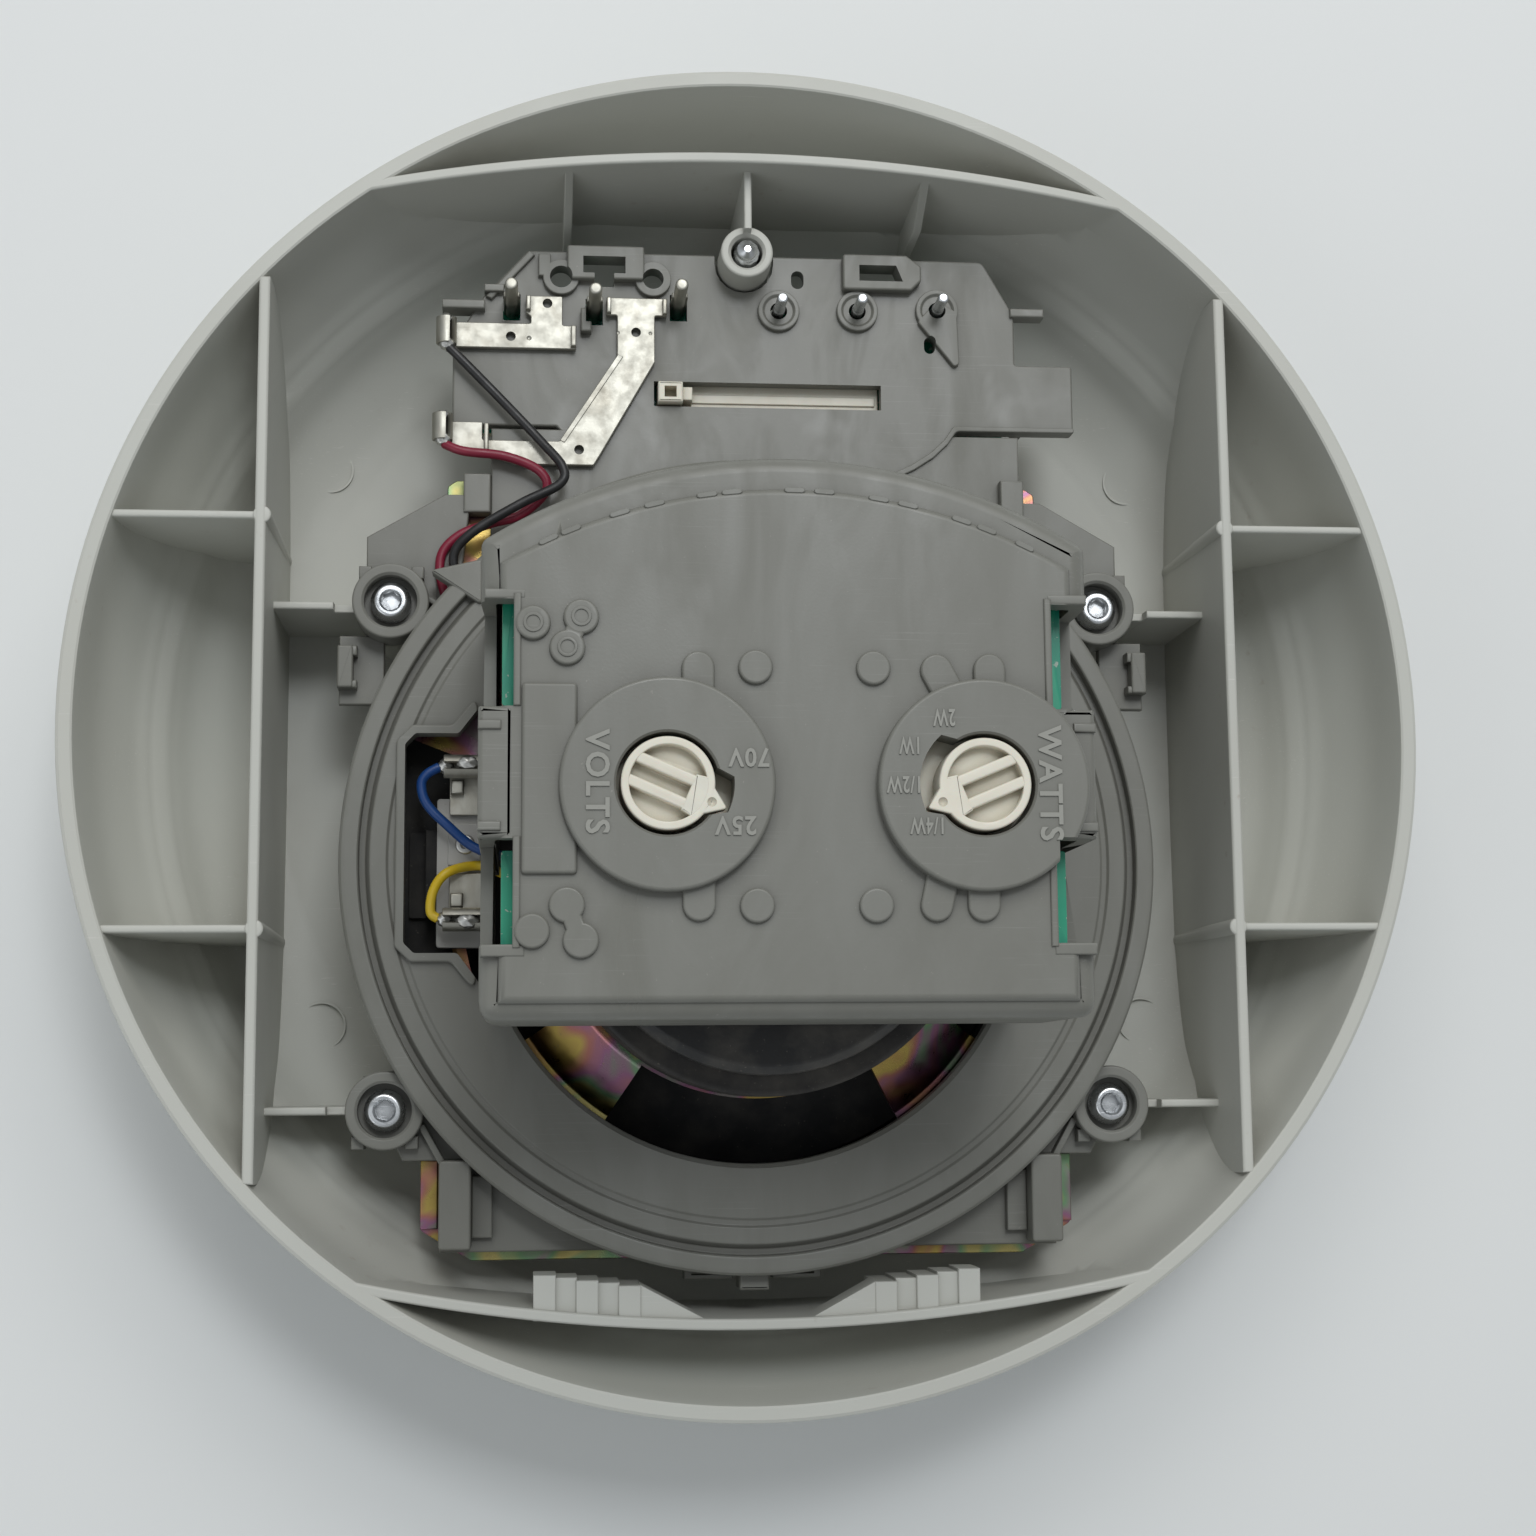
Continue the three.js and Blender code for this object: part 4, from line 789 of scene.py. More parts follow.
def chassis_webs():
    webs = [
        clear_of_cup("keeper", rect(-39.3, 39.3, -66, -44), -9.5),
        clear_of_cup("bridge", [(-33.5, 26), (33.5, 26), (36.8, 30), (36.8, 40.4), (-33.5, 40.4)], MODULE),
    ]
    for side in (-1, 1):
        x = side * 37.3
        # keeper column with a shallow step on its inner side
        webs.append(block(x - 2, x + 2, -65.5, -54.5, FOOT, -5.2, top=0.35, corner=0.5))
        inner = sorted((x - side * 2, x - side * 4.6))
        webs.append(block(*inner, -64.2, -56.5, FOOT, -8.2, top=0.25))
        # snap hook
        x = side * 51.9
        webs.append(block(x - 1, x + 1, 5.4, 10.9, -13.8, -8, top=0.3, corner=0.35))
        ends = sorted((side * 50.4, side * 52.9))
        webs.append(block(*ends, 9.6, 10.9, -12, -8.2, top=0.25))
        webs.append(block(*ends, 5.4, 6.4, -12, -8.2, top=0.25))
        x = side * 49.9
        webs.append(block(x - 2.9, x + 2.9, 3.5, 12.5, FOOT, -10.2, top=0.25))
        upper = [(side * 49.4, 25.4), (side * 39.4, 31.2), (side * 36, 31.2), (side * 38, 14),
                 (side * 49.4, 12.5)]
        lower = [(side * 49, -44), (side * 44, -54.6), (side * 36, -54.6), (side * 38, -42)]
        webs.append(clear_of_cup("upper_gusset", upper, -9.2))
        webs.append(clear_of_cup("lower_gusset", lower, -9.2))
        # stiffening ribs on the gussets
        webs.append(slab([(side * 42.2, -50), (side * 41.2, -50), (side * 38.4, -55), (side * 39.4, -55)],
                         FOOT, -7.6, top=0.2))
    for x, y in SCREWS:
        webs.append(lathe(fillet([(0, FOOT), (4.9, FOOT), (4.9, -5.9, 0.4), (3.7, -5.9, 0.2), (3.2, -6.4),
                                  (0, -6.4)],
                                 0.15, 3, closed=False), x, y, 64))
        inward = 1 if x > 0 else -1
        drop = 3 if y > 0 else -3
        start, end = x - inward * 3.5, x - inward * 8
        for lean in (0, 1.9):
            webs.append(slab([(start, y - 1 + lean), (end, y - 1 - drop + lean),
                              (end, y - 0.1 - drop + lean),
                              (start, y - 0.1 + lean)], FOOT, -6.7, top=0.2))
        # small rib blocks round the boss
        for angle in (50, 130):
            turn = math.radians(angle if y > 0 else -angle)
            bx, by = x + 5.2 * math.cos(turn), y + 5.2 * math.sin(turn)
            webs.append(block(bx - 0.8, bx + 0.8, by - 0.8, by + 0.8, FOOT, -7.4, top=0.2))
    webs.append(block(-1.9, 1.9, -71, -66, FOOT, -6.2, top=0.4, corner=0.3))
    webs.append(slab(fillet([(-41.2, 19.8), (-34.4, 15.4), (-34.4, 21.4)], 0.4), -6.0, -3.4, top=0.3))
    for side in (-1, 1):
        webs.append(block(side * 5.6 - 3.1, side * 5.6 + 3.1, -69.7, -66.2, FOOT, -8.6, top=0.25))
    return webs


def chassis_module():
    top = MODULE
    outline = fillet([
        (-38.6, 40.8), (-38.6, 52), (-34.6, 58.4), (-28.8, 64.8), (32.4, 64.8, 1.2), (36.6, 57.4, 1),
        (36.6, 50.4),
        (44.4, 50.4), (44.4, 41), (28.4, 41, 0.8), (27.2, 39.2), (25.2, 37.3), (22.6, 35.6), (19.0, 33.9),
        (-22, 33.9), (-22, 38.2), (-25, 40.8),
    ], 0.4)
    parts = [slab(outline, top - 2, top, top=0.3)]
    # the stepped edge that follows the outline's upper side, and the bay's curved lip
    parts.append(slab([(-34.3, 58.2), (-28.6, 64.6), (-27.9, 64.0), (-33.5, 57.8)], top - 1, top + 0.7,
                      top=0.2))
    lip = [(19, 33.9), (22.6, 35.6), (25.2, 37.3), (27.2, 39.2), (28.4, 41), (44.4, 41), (44.4, 41.7),
           (28, 41.7), (26.7, 39.8),
           (24.8, 38), (22.2, 36.3), (18.6, 34.6)]
    parts.append(slab(fillet(lip, 0.8), top - 1, top + 0.45, top=0.18))
    # frames round the two board windows
    parts.append(block(-23.6, -13.4, 60.6, 65.2, top - 1, top + 1.6, top=0.3, corner=0.4))
    parts.append(slab(fillet([(13.2, 60), (22.4, 60), (23.8, 61.4), (23.8, 63.4), (21.8, 64.9),
                              (13.2, 64.9)], 0.5),
                      top - 1, top + 1.6, top=0.3))
    for x in (-24.4, -12.2):
        parts.append(ring(x, 61, 1.2, 2.4, top - 1, top + 0.9, 0.2, 40))
    for (x, y), size in zip(GUIDES, (2.8, 2.8, 2.9)):
        parts.append(lathe(fillet([(0, top - 1), (size, top - 1), (size, top + 0.8, 0.25),
                                   (size - 0.6, top + 0.8, 0.15),
                                   (size - 0.9, top + 0.45), (0, top + 0.45)], 0.15, 3, closed=False), x, y,
                                   48))
    parts.append(slab(fillet([(23.3, 56), (28.2, 49.8), (28.9, 50.2), (28.7, 57.4), (26, 59)], 0.5),
                      top - 1, top + 0.8, top=0.2))
    # lugs that hold the contact plates, the rests under them and small ribs
    parts.append(block(-40, -34.4, 56.2, 57.4, top - 2, top + 1.5, top=0.25))
    parts.append(block(-21.8, -20.4, 53.4, 56.6, top - 1, top + 1.6, top=0.25))
    parts.append(block(36, 40.6, 57, 58.2, top - 2, top + 0.6, top=0.25))
    for x, y, w, d, h in ((-33.2, 59.2, 2.6, 1.0, 1.2), (-26.6, 62.6, 1.6, 3.0, 0.9)):
        parts.append(block(x - w / 2, x + w / 2, y - d / 2, y + d / 2, top - 1, top + h, top=0.2))
    # flanges down to the deck at both ends
    parts.append(block(-38.2, -36.8, 42, 54.4, top - 6.6, top - 1, top=0.2))
    parts.append(block(36.9, 38.3, 42, 50, top - 6.6, top - 1, top=0.2))
    parts.append(block(-37, -33.5, 28.8, 34, FOOT, -8.8, top=0.3))
    parts.append(block(33.9, 37, 26.5, 34, FOOT, -8.2, top=0.3))
    return parts


def chassis_openings():
    deep = (MODULE - 4, MODULE + 4)
    window = [(-30, 6), (-34.6, 2.2), (-37.2, -1.2), (-42.6, -1.2), (-43.9, -2.6), (-43.9, -27.6),
              (-42.6, -28.9),
              (-37.2, -28.9), (-34.6, -32.4), (-30, -36)]
    cuts = [
        lathe(fillet([(0, -14), (OPENING, -14), (OPENING, DECK - 0.5, 0.3), (OPENING + 0.6, DECK + 0.01),
                      (OPENING + 0.6, 0),
                      (0, 0)], 0.2, 3, closed=False), 0, SPEAKER_Y, 128),
        slab(fillet(window, 0.7), -14, 0, top=0),
        block(-21.5, -15.9, 61.4, 63.7, *deep, top=0),
        block(-20, -17.4, 60, 61.6, *deep, top=0),
        slab([(15.4, 61.2), (21.3, 61.2), (20.4, 63.4), (15.4, 63.4)], *deep, top=0),
        post(-24.4, 61, 1.5, *deep, top=0, steps=28),
        post(-12.2, 61, 1.4, *deep, top=0, steps=28),
        slab(pill((7.2, 61.2), (7.2, 62), 0.85), *deep, top=0),
        slab(pill((25, 52.5), (25, 53.3), 0.75), *deep, top=0),
        block(-12.1, 18.3, 43.8, 47.2, *deep, top=0),
        slab(pill((0, PILLAR_Y), (0, PILLAR_Y + 6), 3.95), -14, -2, top=0),
        block(-40.4, -33.5, 10, 21, -9.4, -6.2, top=0),
    ]
    cuts += [block(x - 1.15, x + 1.15, y - 1.9, y + 1.7, *deep, top=0) for x, y in CONTACTS]
    cuts += [post(x, y, 1.15, *deep, top=0, steps=24) for x, y in GUIDES]
    for x, y in SCREWS:
        cuts.append(post(x, y, 3.4, -8.5, 0, top=0, steps=48))
        cuts.append(post(x, y, 1.85, -20, 0, top=0, steps=24))
    cuts += [block(side * 5.6 - 2.2, side * 5.6 + 2.2, -69.2, -66.8, -14, -6, top=0) for side in (-1, 1)]
    return cuts


def rear_chassis():
    lip_outer = fillet([(-34.8, 4), (-38, -0.1), (-43, -0.1), (-45, -2.1), (-45, -28.1), (-43, -30),
                        (-38, -30),
                        (-34.8, -34)], 1.0)
    lip = slab(lip_outer, DECK - 1, DECK + 0.9, top=0.3)
    made = carved("rear_chassis_moulding", [chassis_cup(), *chassis_webs(), *chassis_module(), lip],
                  chassis_openings())
    return piece(made, "rear_chassis", MATERIAL["chassis"], 33)


rear_chassis()

# ------------------------------------------------------------------ cover over the line transformer

HOUSE = 33.7                             # half its width
HOUSE_TOP, HOUSE_BASE = 41.2, -3.4
BORDER_STEP = 0.75                       # how far its border lies below the face
HOUSE_Y = -38.7                          # its lower edge
ARC_Y, ARC_R = -38.5, 62.3               # its arched upper edge
FACE_HALF, FACE_Y, FACE_R = 31.6, -41.9, 61.7     # its raised face: half width, arch centre and radius
DIAL_Y = -13.4
DIAL_R = 11.7
DIAL_TOP = 43.2
NOTCH = {-1: 30.1, 1: 29.2}              # inner edge of the side notches


def house_outline(shrink, corner=0.8):
    """A flat foot and an arch above it, moved inwards by shrink, with every corner rounded."""
    half = HOUSE - shrink
    reach = ARC_R - shrink
    low = HOUSE_Y + shrink
    swing = math.degrees(math.asin(half / reach))
    arch = arc(0, ARC_Y, reach, 90 - swing, 90 + swing, 48)
    points = [(-half, low, 2.2), (half, low, 2.2), (*arch[0], corner)]
    points += [(x, y, 0) for x, y in arch[1:-1]] + [(*arch[-1], corner)]
    return fillet(points, corner, 4)


def pointer_pocket(x, start, travel, z0, z1):
    low = start + min(0, travel) - 2.5
    high = start + max(0, travel) + 2.5
    shape = [(x, DIAL_Y), on_circle(x, DIAL_Y, 5.4, low - 14)]
    shape += arc(x, DIAL_Y, 7.2, low, high, 14)
    shape.append(on_circle(x, DIAL_Y, 5.4, high + 14))
    return slab(shape, z0, z1, top=0)


DIALS = {
    "volts": {"x": -13.5, "start": -23.7, "travel": 27.0},
    "watts": {"x": 21.1, "start": 202.8, "travel": -69.0},
}


def transformer_cover():
    top = HOUSE_TOP
    border = top - BORDER_STEP
    body = slab(house_outline(0, 2.8), HOUSE_BASE, border, top=2.0, steps=7)
    inner = slab(house_outline(1.6, 1.9), HOUSE_BASE - 1, border - 1.7, top=1.2)
    underside = block(-40, 40, -60, -34, HOUSE_BASE - 1, 20, top=0)
    raised = []
    # the face: a shallow plate inside the lower border, with small ticks along its arched edge
    swing = math.degrees(math.asin(FACE_HALF / FACE_R))
    face = [(-FACE_HALF, -36.9), (FACE_HALF, -36.9)] + arc(0, FACE_Y, FACE_R, 90 - swing, 90 + swing, 48)
    raised.append(slab(face, border - 1, top + 0.14, top=0.85, steps=6))
    for angle in (64.5, 68.8, 71.6, 77.4, 80.5, 86.2, 89.3, 95.8, 98.4, 103.9, 107.6, 112.9, 115.4):
        start, end = (on_circle(0, FACE_Y, 61.5, angle + lean) for lean in (-0.8, 0.8))
        raised.append(slab(pill(start, end, 0.32, 3), border - 0.5, top + 0.19, top=0.08, steps=1))
    for dial in DIALS.values():
        raised.append(post(dial["x"], DIAL_Y, DIAL_R, top - 1, DIAL_TOP, top=0.45, steps=96))
    high = top + 0.8
    for x, y in ((-3.8, -0.4), (9.2, -0.4), (-3.8, -26.5), (9.2, -26.5), (-28, 4.3), (-28, -29.2)):
        raised.append(post(x, y, 1.9, border - 0.6, high, top=0.3))
    for x, y in ((-22.8, 5), (-24.3, 1.6), (-24.3, -26.4), (-22.8, -30.2)):
        raised.append(post(x, y, 1.95, border - 0.6, high, top=0.3))
    for a, b in (((-22.8, 5), (-24.3, 1.6)), ((-24.3, -26.4), (-22.8, -30.2))):
        raised.append(slab(pill(a, b, 1.05), top - 1, high - 0.02, top=0.3))
    for a, b in (((-10.1, -0.5), (-10.1, -5)), ((-10.1, -26.4), (-10.1, -22)), ((16.2, -0.6), (18.2, -4.4)),
                 ((15.8, -26.5), (16.8, -22)), ((22.1, -0.5), (22.1, -4)), ((21, -26.5), (21, -22))):
        raised.append(slab(pill(a, b, 1.8, 14), border - 0.6, high, top=0.3))
    for x, y in ((-28, 4.3), (-22.8, 5), (-24.3, 1.6)):
        raised.append(ring(x, y, 0.75, 1.1, high - 0.3, high + 0.15, 0.08, 32))
    raised.append(block(-29.2, -23.2, -23.1, -2.3, top - 1, high, top=0.4, corner=0.5))
    for side in (-1, 1):
        ends = sorted((side * 30.1, side * 33.9))
        raised.append(block(*ends, -19.2, -4.8, HOUSE_BASE, top + 0.2, top=0.6, corner=0.3))
        ends = sorted((side * 31.4, side * 33.9))
        for y in (-17.9, -6.9):
            raised.append(block(*ends, y - 0.5, y + 0.5, top - 6, top + 0.55, top=0.2))
        # thin lips beside the notches, and the shoulders at their ends
        for y0, y1 in ((-30.6, -19.6), (-4.4, 7.0)):
            edge = NOTCH[side]
            ends = sorted((side * (edge - 0.8), side * edge))
            raised.append(block(*ends, y0 - 0.4, y1 + 0.6, top - 1.5, top + 0.45, top=0.2))
        raised.append(block(*sorted((side * 28.8, side * 33.3)), 7.0, 8.1, top - 3, top + 0.2, top=0.25))
        raised.append(block(*sorted((side * 28.8, side * 33.5)), -31.9, -30.6, top - 3, top + 0.25,
                            top=0.2))
    cuts = []
    for side in (-1, 1):
        ends = sorted((side * NOTCH[side], side * 36))
        for y0, y1 in ((-30.6, -19.2), (-4.8, 7)):
            cuts.append(block(*ends, y0, y1, 31, top + 2, top=0))
        x = side * 30.95
        cuts.append(block(x - 1.05, x + 1.05, -19.6, -4.4, HOUSE_BASE - 1, top - 2, top=0))
    for dial in DIALS.values():
        hole = [(0, top - 4), (5.6, top - 4), (5.6, DIAL_TOP - 0.25), (5.85, DIAL_TOP),
                (5.85, DIAL_TOP + 1),
                (0, DIAL_TOP + 1)]
        cuts.append(lathe(hole, dial["x"], DIAL_Y, 64))
        cuts.append(pointer_pocket(dial["x"], dial["start"], dial["travel"], top - 4, DIAL_TOP + 1))
    shell = as_solid(carved("cover_shell", [body], [inner, underside]))
    made = carved("transformer_cover_moulding", [shell, *raised], cuts)
    return piece(made, "transformer_cover", MATERIAL["chassis"], 33)


transformer_cover()


def lettering(text, x, y, size, turn, narrow=1.0, tall=0.22):
    """Raised dial lettering as a closed solid, centred at (x, y)."""
    curve = bpy.data.curves.new(f"mark_{text}", "FONT")
    curve.body = text
    curve.size = size
    curve.align_x = "CENTER"
    curve.align_y = "CENTER"
    curve.extrude = tall / 2
    curve.resolution_u = 3
    curve.offset = 0.022 * size
    curve.space_character = 1.12
    source = bpy.data.objects.new(f"mark_{text}", curve)
    bpy.context.scene.collection.objects.link(source)
    bpy.context.view_layer.update()
    mesh = bpy.data.meshes.new_from_object(source.evaluated_get(bpy.context.evaluated_depsgraph_get()))
    points = [(v.co.x * narrow, v.co.y, v.co.z) for v in mesh.vertices]
    faces = [tuple(p.vertices) for p in mesh.polygons]
    bpy.data.objects.remove(source)
    bpy.data.curves.remove(curve)
    bpy.data.meshes.remove(mesh)
    solid = turned((points, faces), z=turn)
    return moved(solid, x, y, DIAL_TOP + tall / 2 - 0.05)


def dial_marks():
    marks = [
        ("VOLTS", -21.2, -13.3, 3.5, -90), ("WATTS", 28.2, -13.3, 3.5, -90),
        ("70V", -4.7, -10.5, 2.8, 180, 0.92), ("25V", -6.2, -17.9, 2.8, 180, 0.92),
        ("2W", 16.7, -6.0, 2.6, 180, 0.58), ("1W", 12.9, -9.1, 2.6, 180, 0.58),
        ("1/2W", 12.2, -13.4, 2.5, 180, 0.62), ("1/4W", 14.7, -17.9, 2.5, 180, 0.62),
    ]
    made = raw_object("dial_marks", [lettering(*mark) for mark in marks])
    return trim(made, "transformer_cover", MATERIAL["letters"])


dial_marks()


def knob(name, x, start, travel):
    """A rotary knob: flange, rimmed cap with two finger bars, and a pointer with a dimple."""
    cap = lathe(fillet([
        (0, 37.9), (8, 37.9, 0.15), (8, 38.9, 0.15), (5.1, 38.9, 0.1), (5.1, 43.4, 0.3), (4.2, 43.4, 0.2),
        (4.2, 41.7, 0.1),
        (0, 41.7)], 0.2, 3, closed=False), x, DIAL_Y, 96)
    stem = post(x, DIAL_Y, 1.5, 36.6, 38.5, top=0.1)
    bars = [block(x - 4.2, x + 4.2, DIAL_Y + y - 0.62, DIAL_Y + y + 0.62, 41, 43.35,
                  top=0.25) for y in (-1.35, 1.35)]
    tip = fillet([(x + 3.7, DIAL_Y - 2.35), (x + 6.95, DIAL_Y, 0.3), (x + 3.7, DIAL_Y + 2.35),
                  (x + 2.4, DIAL_Y + 2.1),
                  (x + 2.4, DIAL_Y - 2.1)], 0.12)
    pointer = slab(tip, 41.2, 43.38, top=0.2)
    dimple = sphere(x + 5.15, DIAL_Y, 43.55, 0.55)
    solids = [turned(s, (x, DIAL_Y, 0), z=start) for s in (cap, stem, *bars, pointer)]
    made = carved(f"{name}_knob_cap", solids, [turned(dimple, (x, DIAL_Y, 0), z=start)])
    return piece(made, f"{name}_knob", MATERIAL["ivory"])


for dial_name, dial in DIALS.items():
    knob(dial_name, **dial)

# ------------------------------------------------------------------ boards, switches and transformer

def part_block(x0, x1, y0, y1, z0, z1, top=0.15, foot=0.15, corner=0.2):
    return block(x0, x1, y0, y1, z0, z1, top, foot, corner)


def board_piece(made, node):
    """A circuit board: green faces, bare glass epoxy on its edges."""
    piece(made, node, MATERIAL["board"])
    made.data.materials.append(MATERIAL["edge"])
    for polygon in made.data.polygons:
        if abs(polygon.normal.z) < 0.6:
            polygon.material_index = 1


def selector_board():
    half, z0, z1 = 31.4, 34.4, 36.0
    outline = [(-half, -31), (-half, -20), (-29.4, -20), (-29.4, -4), (-half, -4), (-half, 8), (-20, 16),
               (20, 16),
               (half, 8), (half, -4), (29.4, -4), (29.4, -20), (half, -20), (half, -31), (20, -35.5),
               (-20, -35.5)]
    bores = [post(dial["x"], DIAL_Y, 2.2, 30, 40, top=0) for dial in DIALS.values()]
    board_piece(carved("selector_board_panel", [slab(fillet(outline, 0.4), z0, z1, top=0.08, foot=0.08)],
                       bores),
                "selector_board")
    # solder fillets where the switch and winding pins come through, and a few chip parts
    joints = []
    for dial in DIALS.values():
        for k in range(6):
            angle = math.radians(60 * k + 30)
            joints.append(sphere(dial["x"] + 3.6 * math.cos(angle), DIAL_Y + 3.6 * math.sin(angle),
                                 z0 - 0.05,
                                 0.7, 0.7, 0.45, 12, 8))
    winding_pins = [(x, 3.4) for x in (-7, -4, 4, 7)]
    wire_ends = [(x, -10 + x / 10) for x in (-28.2, -25.1, -23)]
    for x, y in winding_pins + wire_ends:
        joints.append(sphere(x, y, z0 - 0.05, 0.75, 0.75, 0.5, 12, 8))
    trim(raw_object("selector_board_solder", joints), "selector_board", MATERIAL["solder"])
    chips = [part_block(x, x + 3.2, y, y + 1.6, z0 - 0.9, z0 - 0.02) for x, y in
             ((-18, -28), (-12, -28), (-2, -30), (8, -28), (14, -28), (2, -22), (-2, -8), (6, -4))]
    trim(raw_object("selector_board_parts", chips), "selector_board", MATERIAL["switch"])


def rotary_switch(name, x):
    z0, z1 = 36.3, 37.6
    body = block(x - 5, x + 5, DIAL_Y - 5, DIAL_Y + 5, z0, z1, top=0.2, foot=0.1, corner=0.5)
    steps = [block(x - 5.0, x + 5.0, DIAL_Y + y, DIAL_Y + y + 0.7, z0, z1 - 0.35, top=0.1) for y in (-3.4,
        2.7)]
    hub = ring(x, DIAL_Y, 1.9, 3.0, z0, z1 - 0.1, 0.15, 40)
    made = carved(f"{name}_switch_body", [body, *steps, hub],
                  [post(x, DIAL_Y, 1.9, 30, 42, top=0, steps=32)])
    piece(made, f"{name}_switch", MATERIAL["switch"])


def transformer():
    low, high = corners("transformer_core")
    plates = []
    count = 18
    pitch = (high.y - low.y) / count
    for k in range(count):
        y0 = low.y + k * pitch
        edge = 0.0 if k % 2 else 0.06
        sheet_points, sheet_faces = slab(fillet(rect(low.x + edge, high.x - edge, low.z + edge,
                                                     high.z - edge), 0.3),
                                         -(y0 + pitch * 1.02), -y0, top=0.03, steps=1)
        plates.append(([(px, -pz, py) for px, py, pz in sheet_points], sheet_faces))
    windows = [block(side * 6 - 2.6, side * 6 + 2.6, 0, 20, low.z + 3.4, high.z - 3.4,
                     top=0) for side in (-1, 1)]
    core = carved("transformer_laminations", plates, windows)
    piece(core, "transformer_core", MATERIAL["steel_dark"])
    low, high = corners("transformer_coil")
    shape = slab(fillet(rect(low.x, high.x, low.y, high.y), 2.0), low.z + 0.9, high.z - 0.9, top=0.3,
                 foot=0.3)
    flanges = [block(low.x, high.x, low.y, high.y, z, z + 0.8, top=0.15, foot=0.15, corner=0.6)
               for z in (low.z, high.z - 0.8)]
    hollow = block(-3.7, 3.7, 4.7, 14.3, 0, 40, top=0)
    wraps = [slab(fillet(rect(low.x, high.x, low.y, high.y), 2.0), z, z + 1.2, top=0.4, foot=0.4)
             for z in (low.z + 2.2, low.z + 5.0, low.z + 7.8)]
    piece(carved("transformer_winding", [shape, *flanges, *wraps], [hollow]), "transformer_coil",
          MATERIAL["film"])
    low, high = corners("blocking_capacitor")
    x, y = (low.x + high.x) / 2, (low.y + high.y) / 2
    can = lathe(fillet([(0, low.z + 0.3), (3.6, low.z + 0.3), (3.7, low.z), (4.5, low.z, 0.5),
                        (4.5, high.z - 2.2, 0.3),
                        (4.1, high.z - 1.6, 0.3), (4.5, high.z - 1.0, 0.3), (4.5, high.z, 0.4),
                        (0, high.z)],
                       0.2, 3, closed=False), x, y, 64)
    piece(raw_object("blocking_capacitor_can", [can]), "blocking_capacitor", MATERIAL["sleeve"])


selector_board()
for dial_name, dial in DIALS.items():
    rotary_switch(dial_name, dial["x"])
transformer()

# ------------------------------------------------------------------ contacts, pins and slider

CONTACT_LOW, CONTACT_TOP = -9.7, -8.9


def barrel(x, y, z, length):
    """A tongue of strip rolled into a tube with an open seam."""
    outer = arc(x, z, 1.35, 70, 395, 30)
    inner = arc(x, z, 0.85, 395, 70, 30)
    upright = slab(outer + inner, -(y + length / 2), -(y - length / 2), top=0.1, foot=0.1)
    return swapped(upright, lambda px, py, pz: (px, -pz, py))


def bent_tab(x0, x1, y0, y1, rise):
    """An end of strip that is folded upright."""
    return block(x0, x1, y0, y1, CONTACT_LOW, CONTACT_TOP + rise, top=0.2)


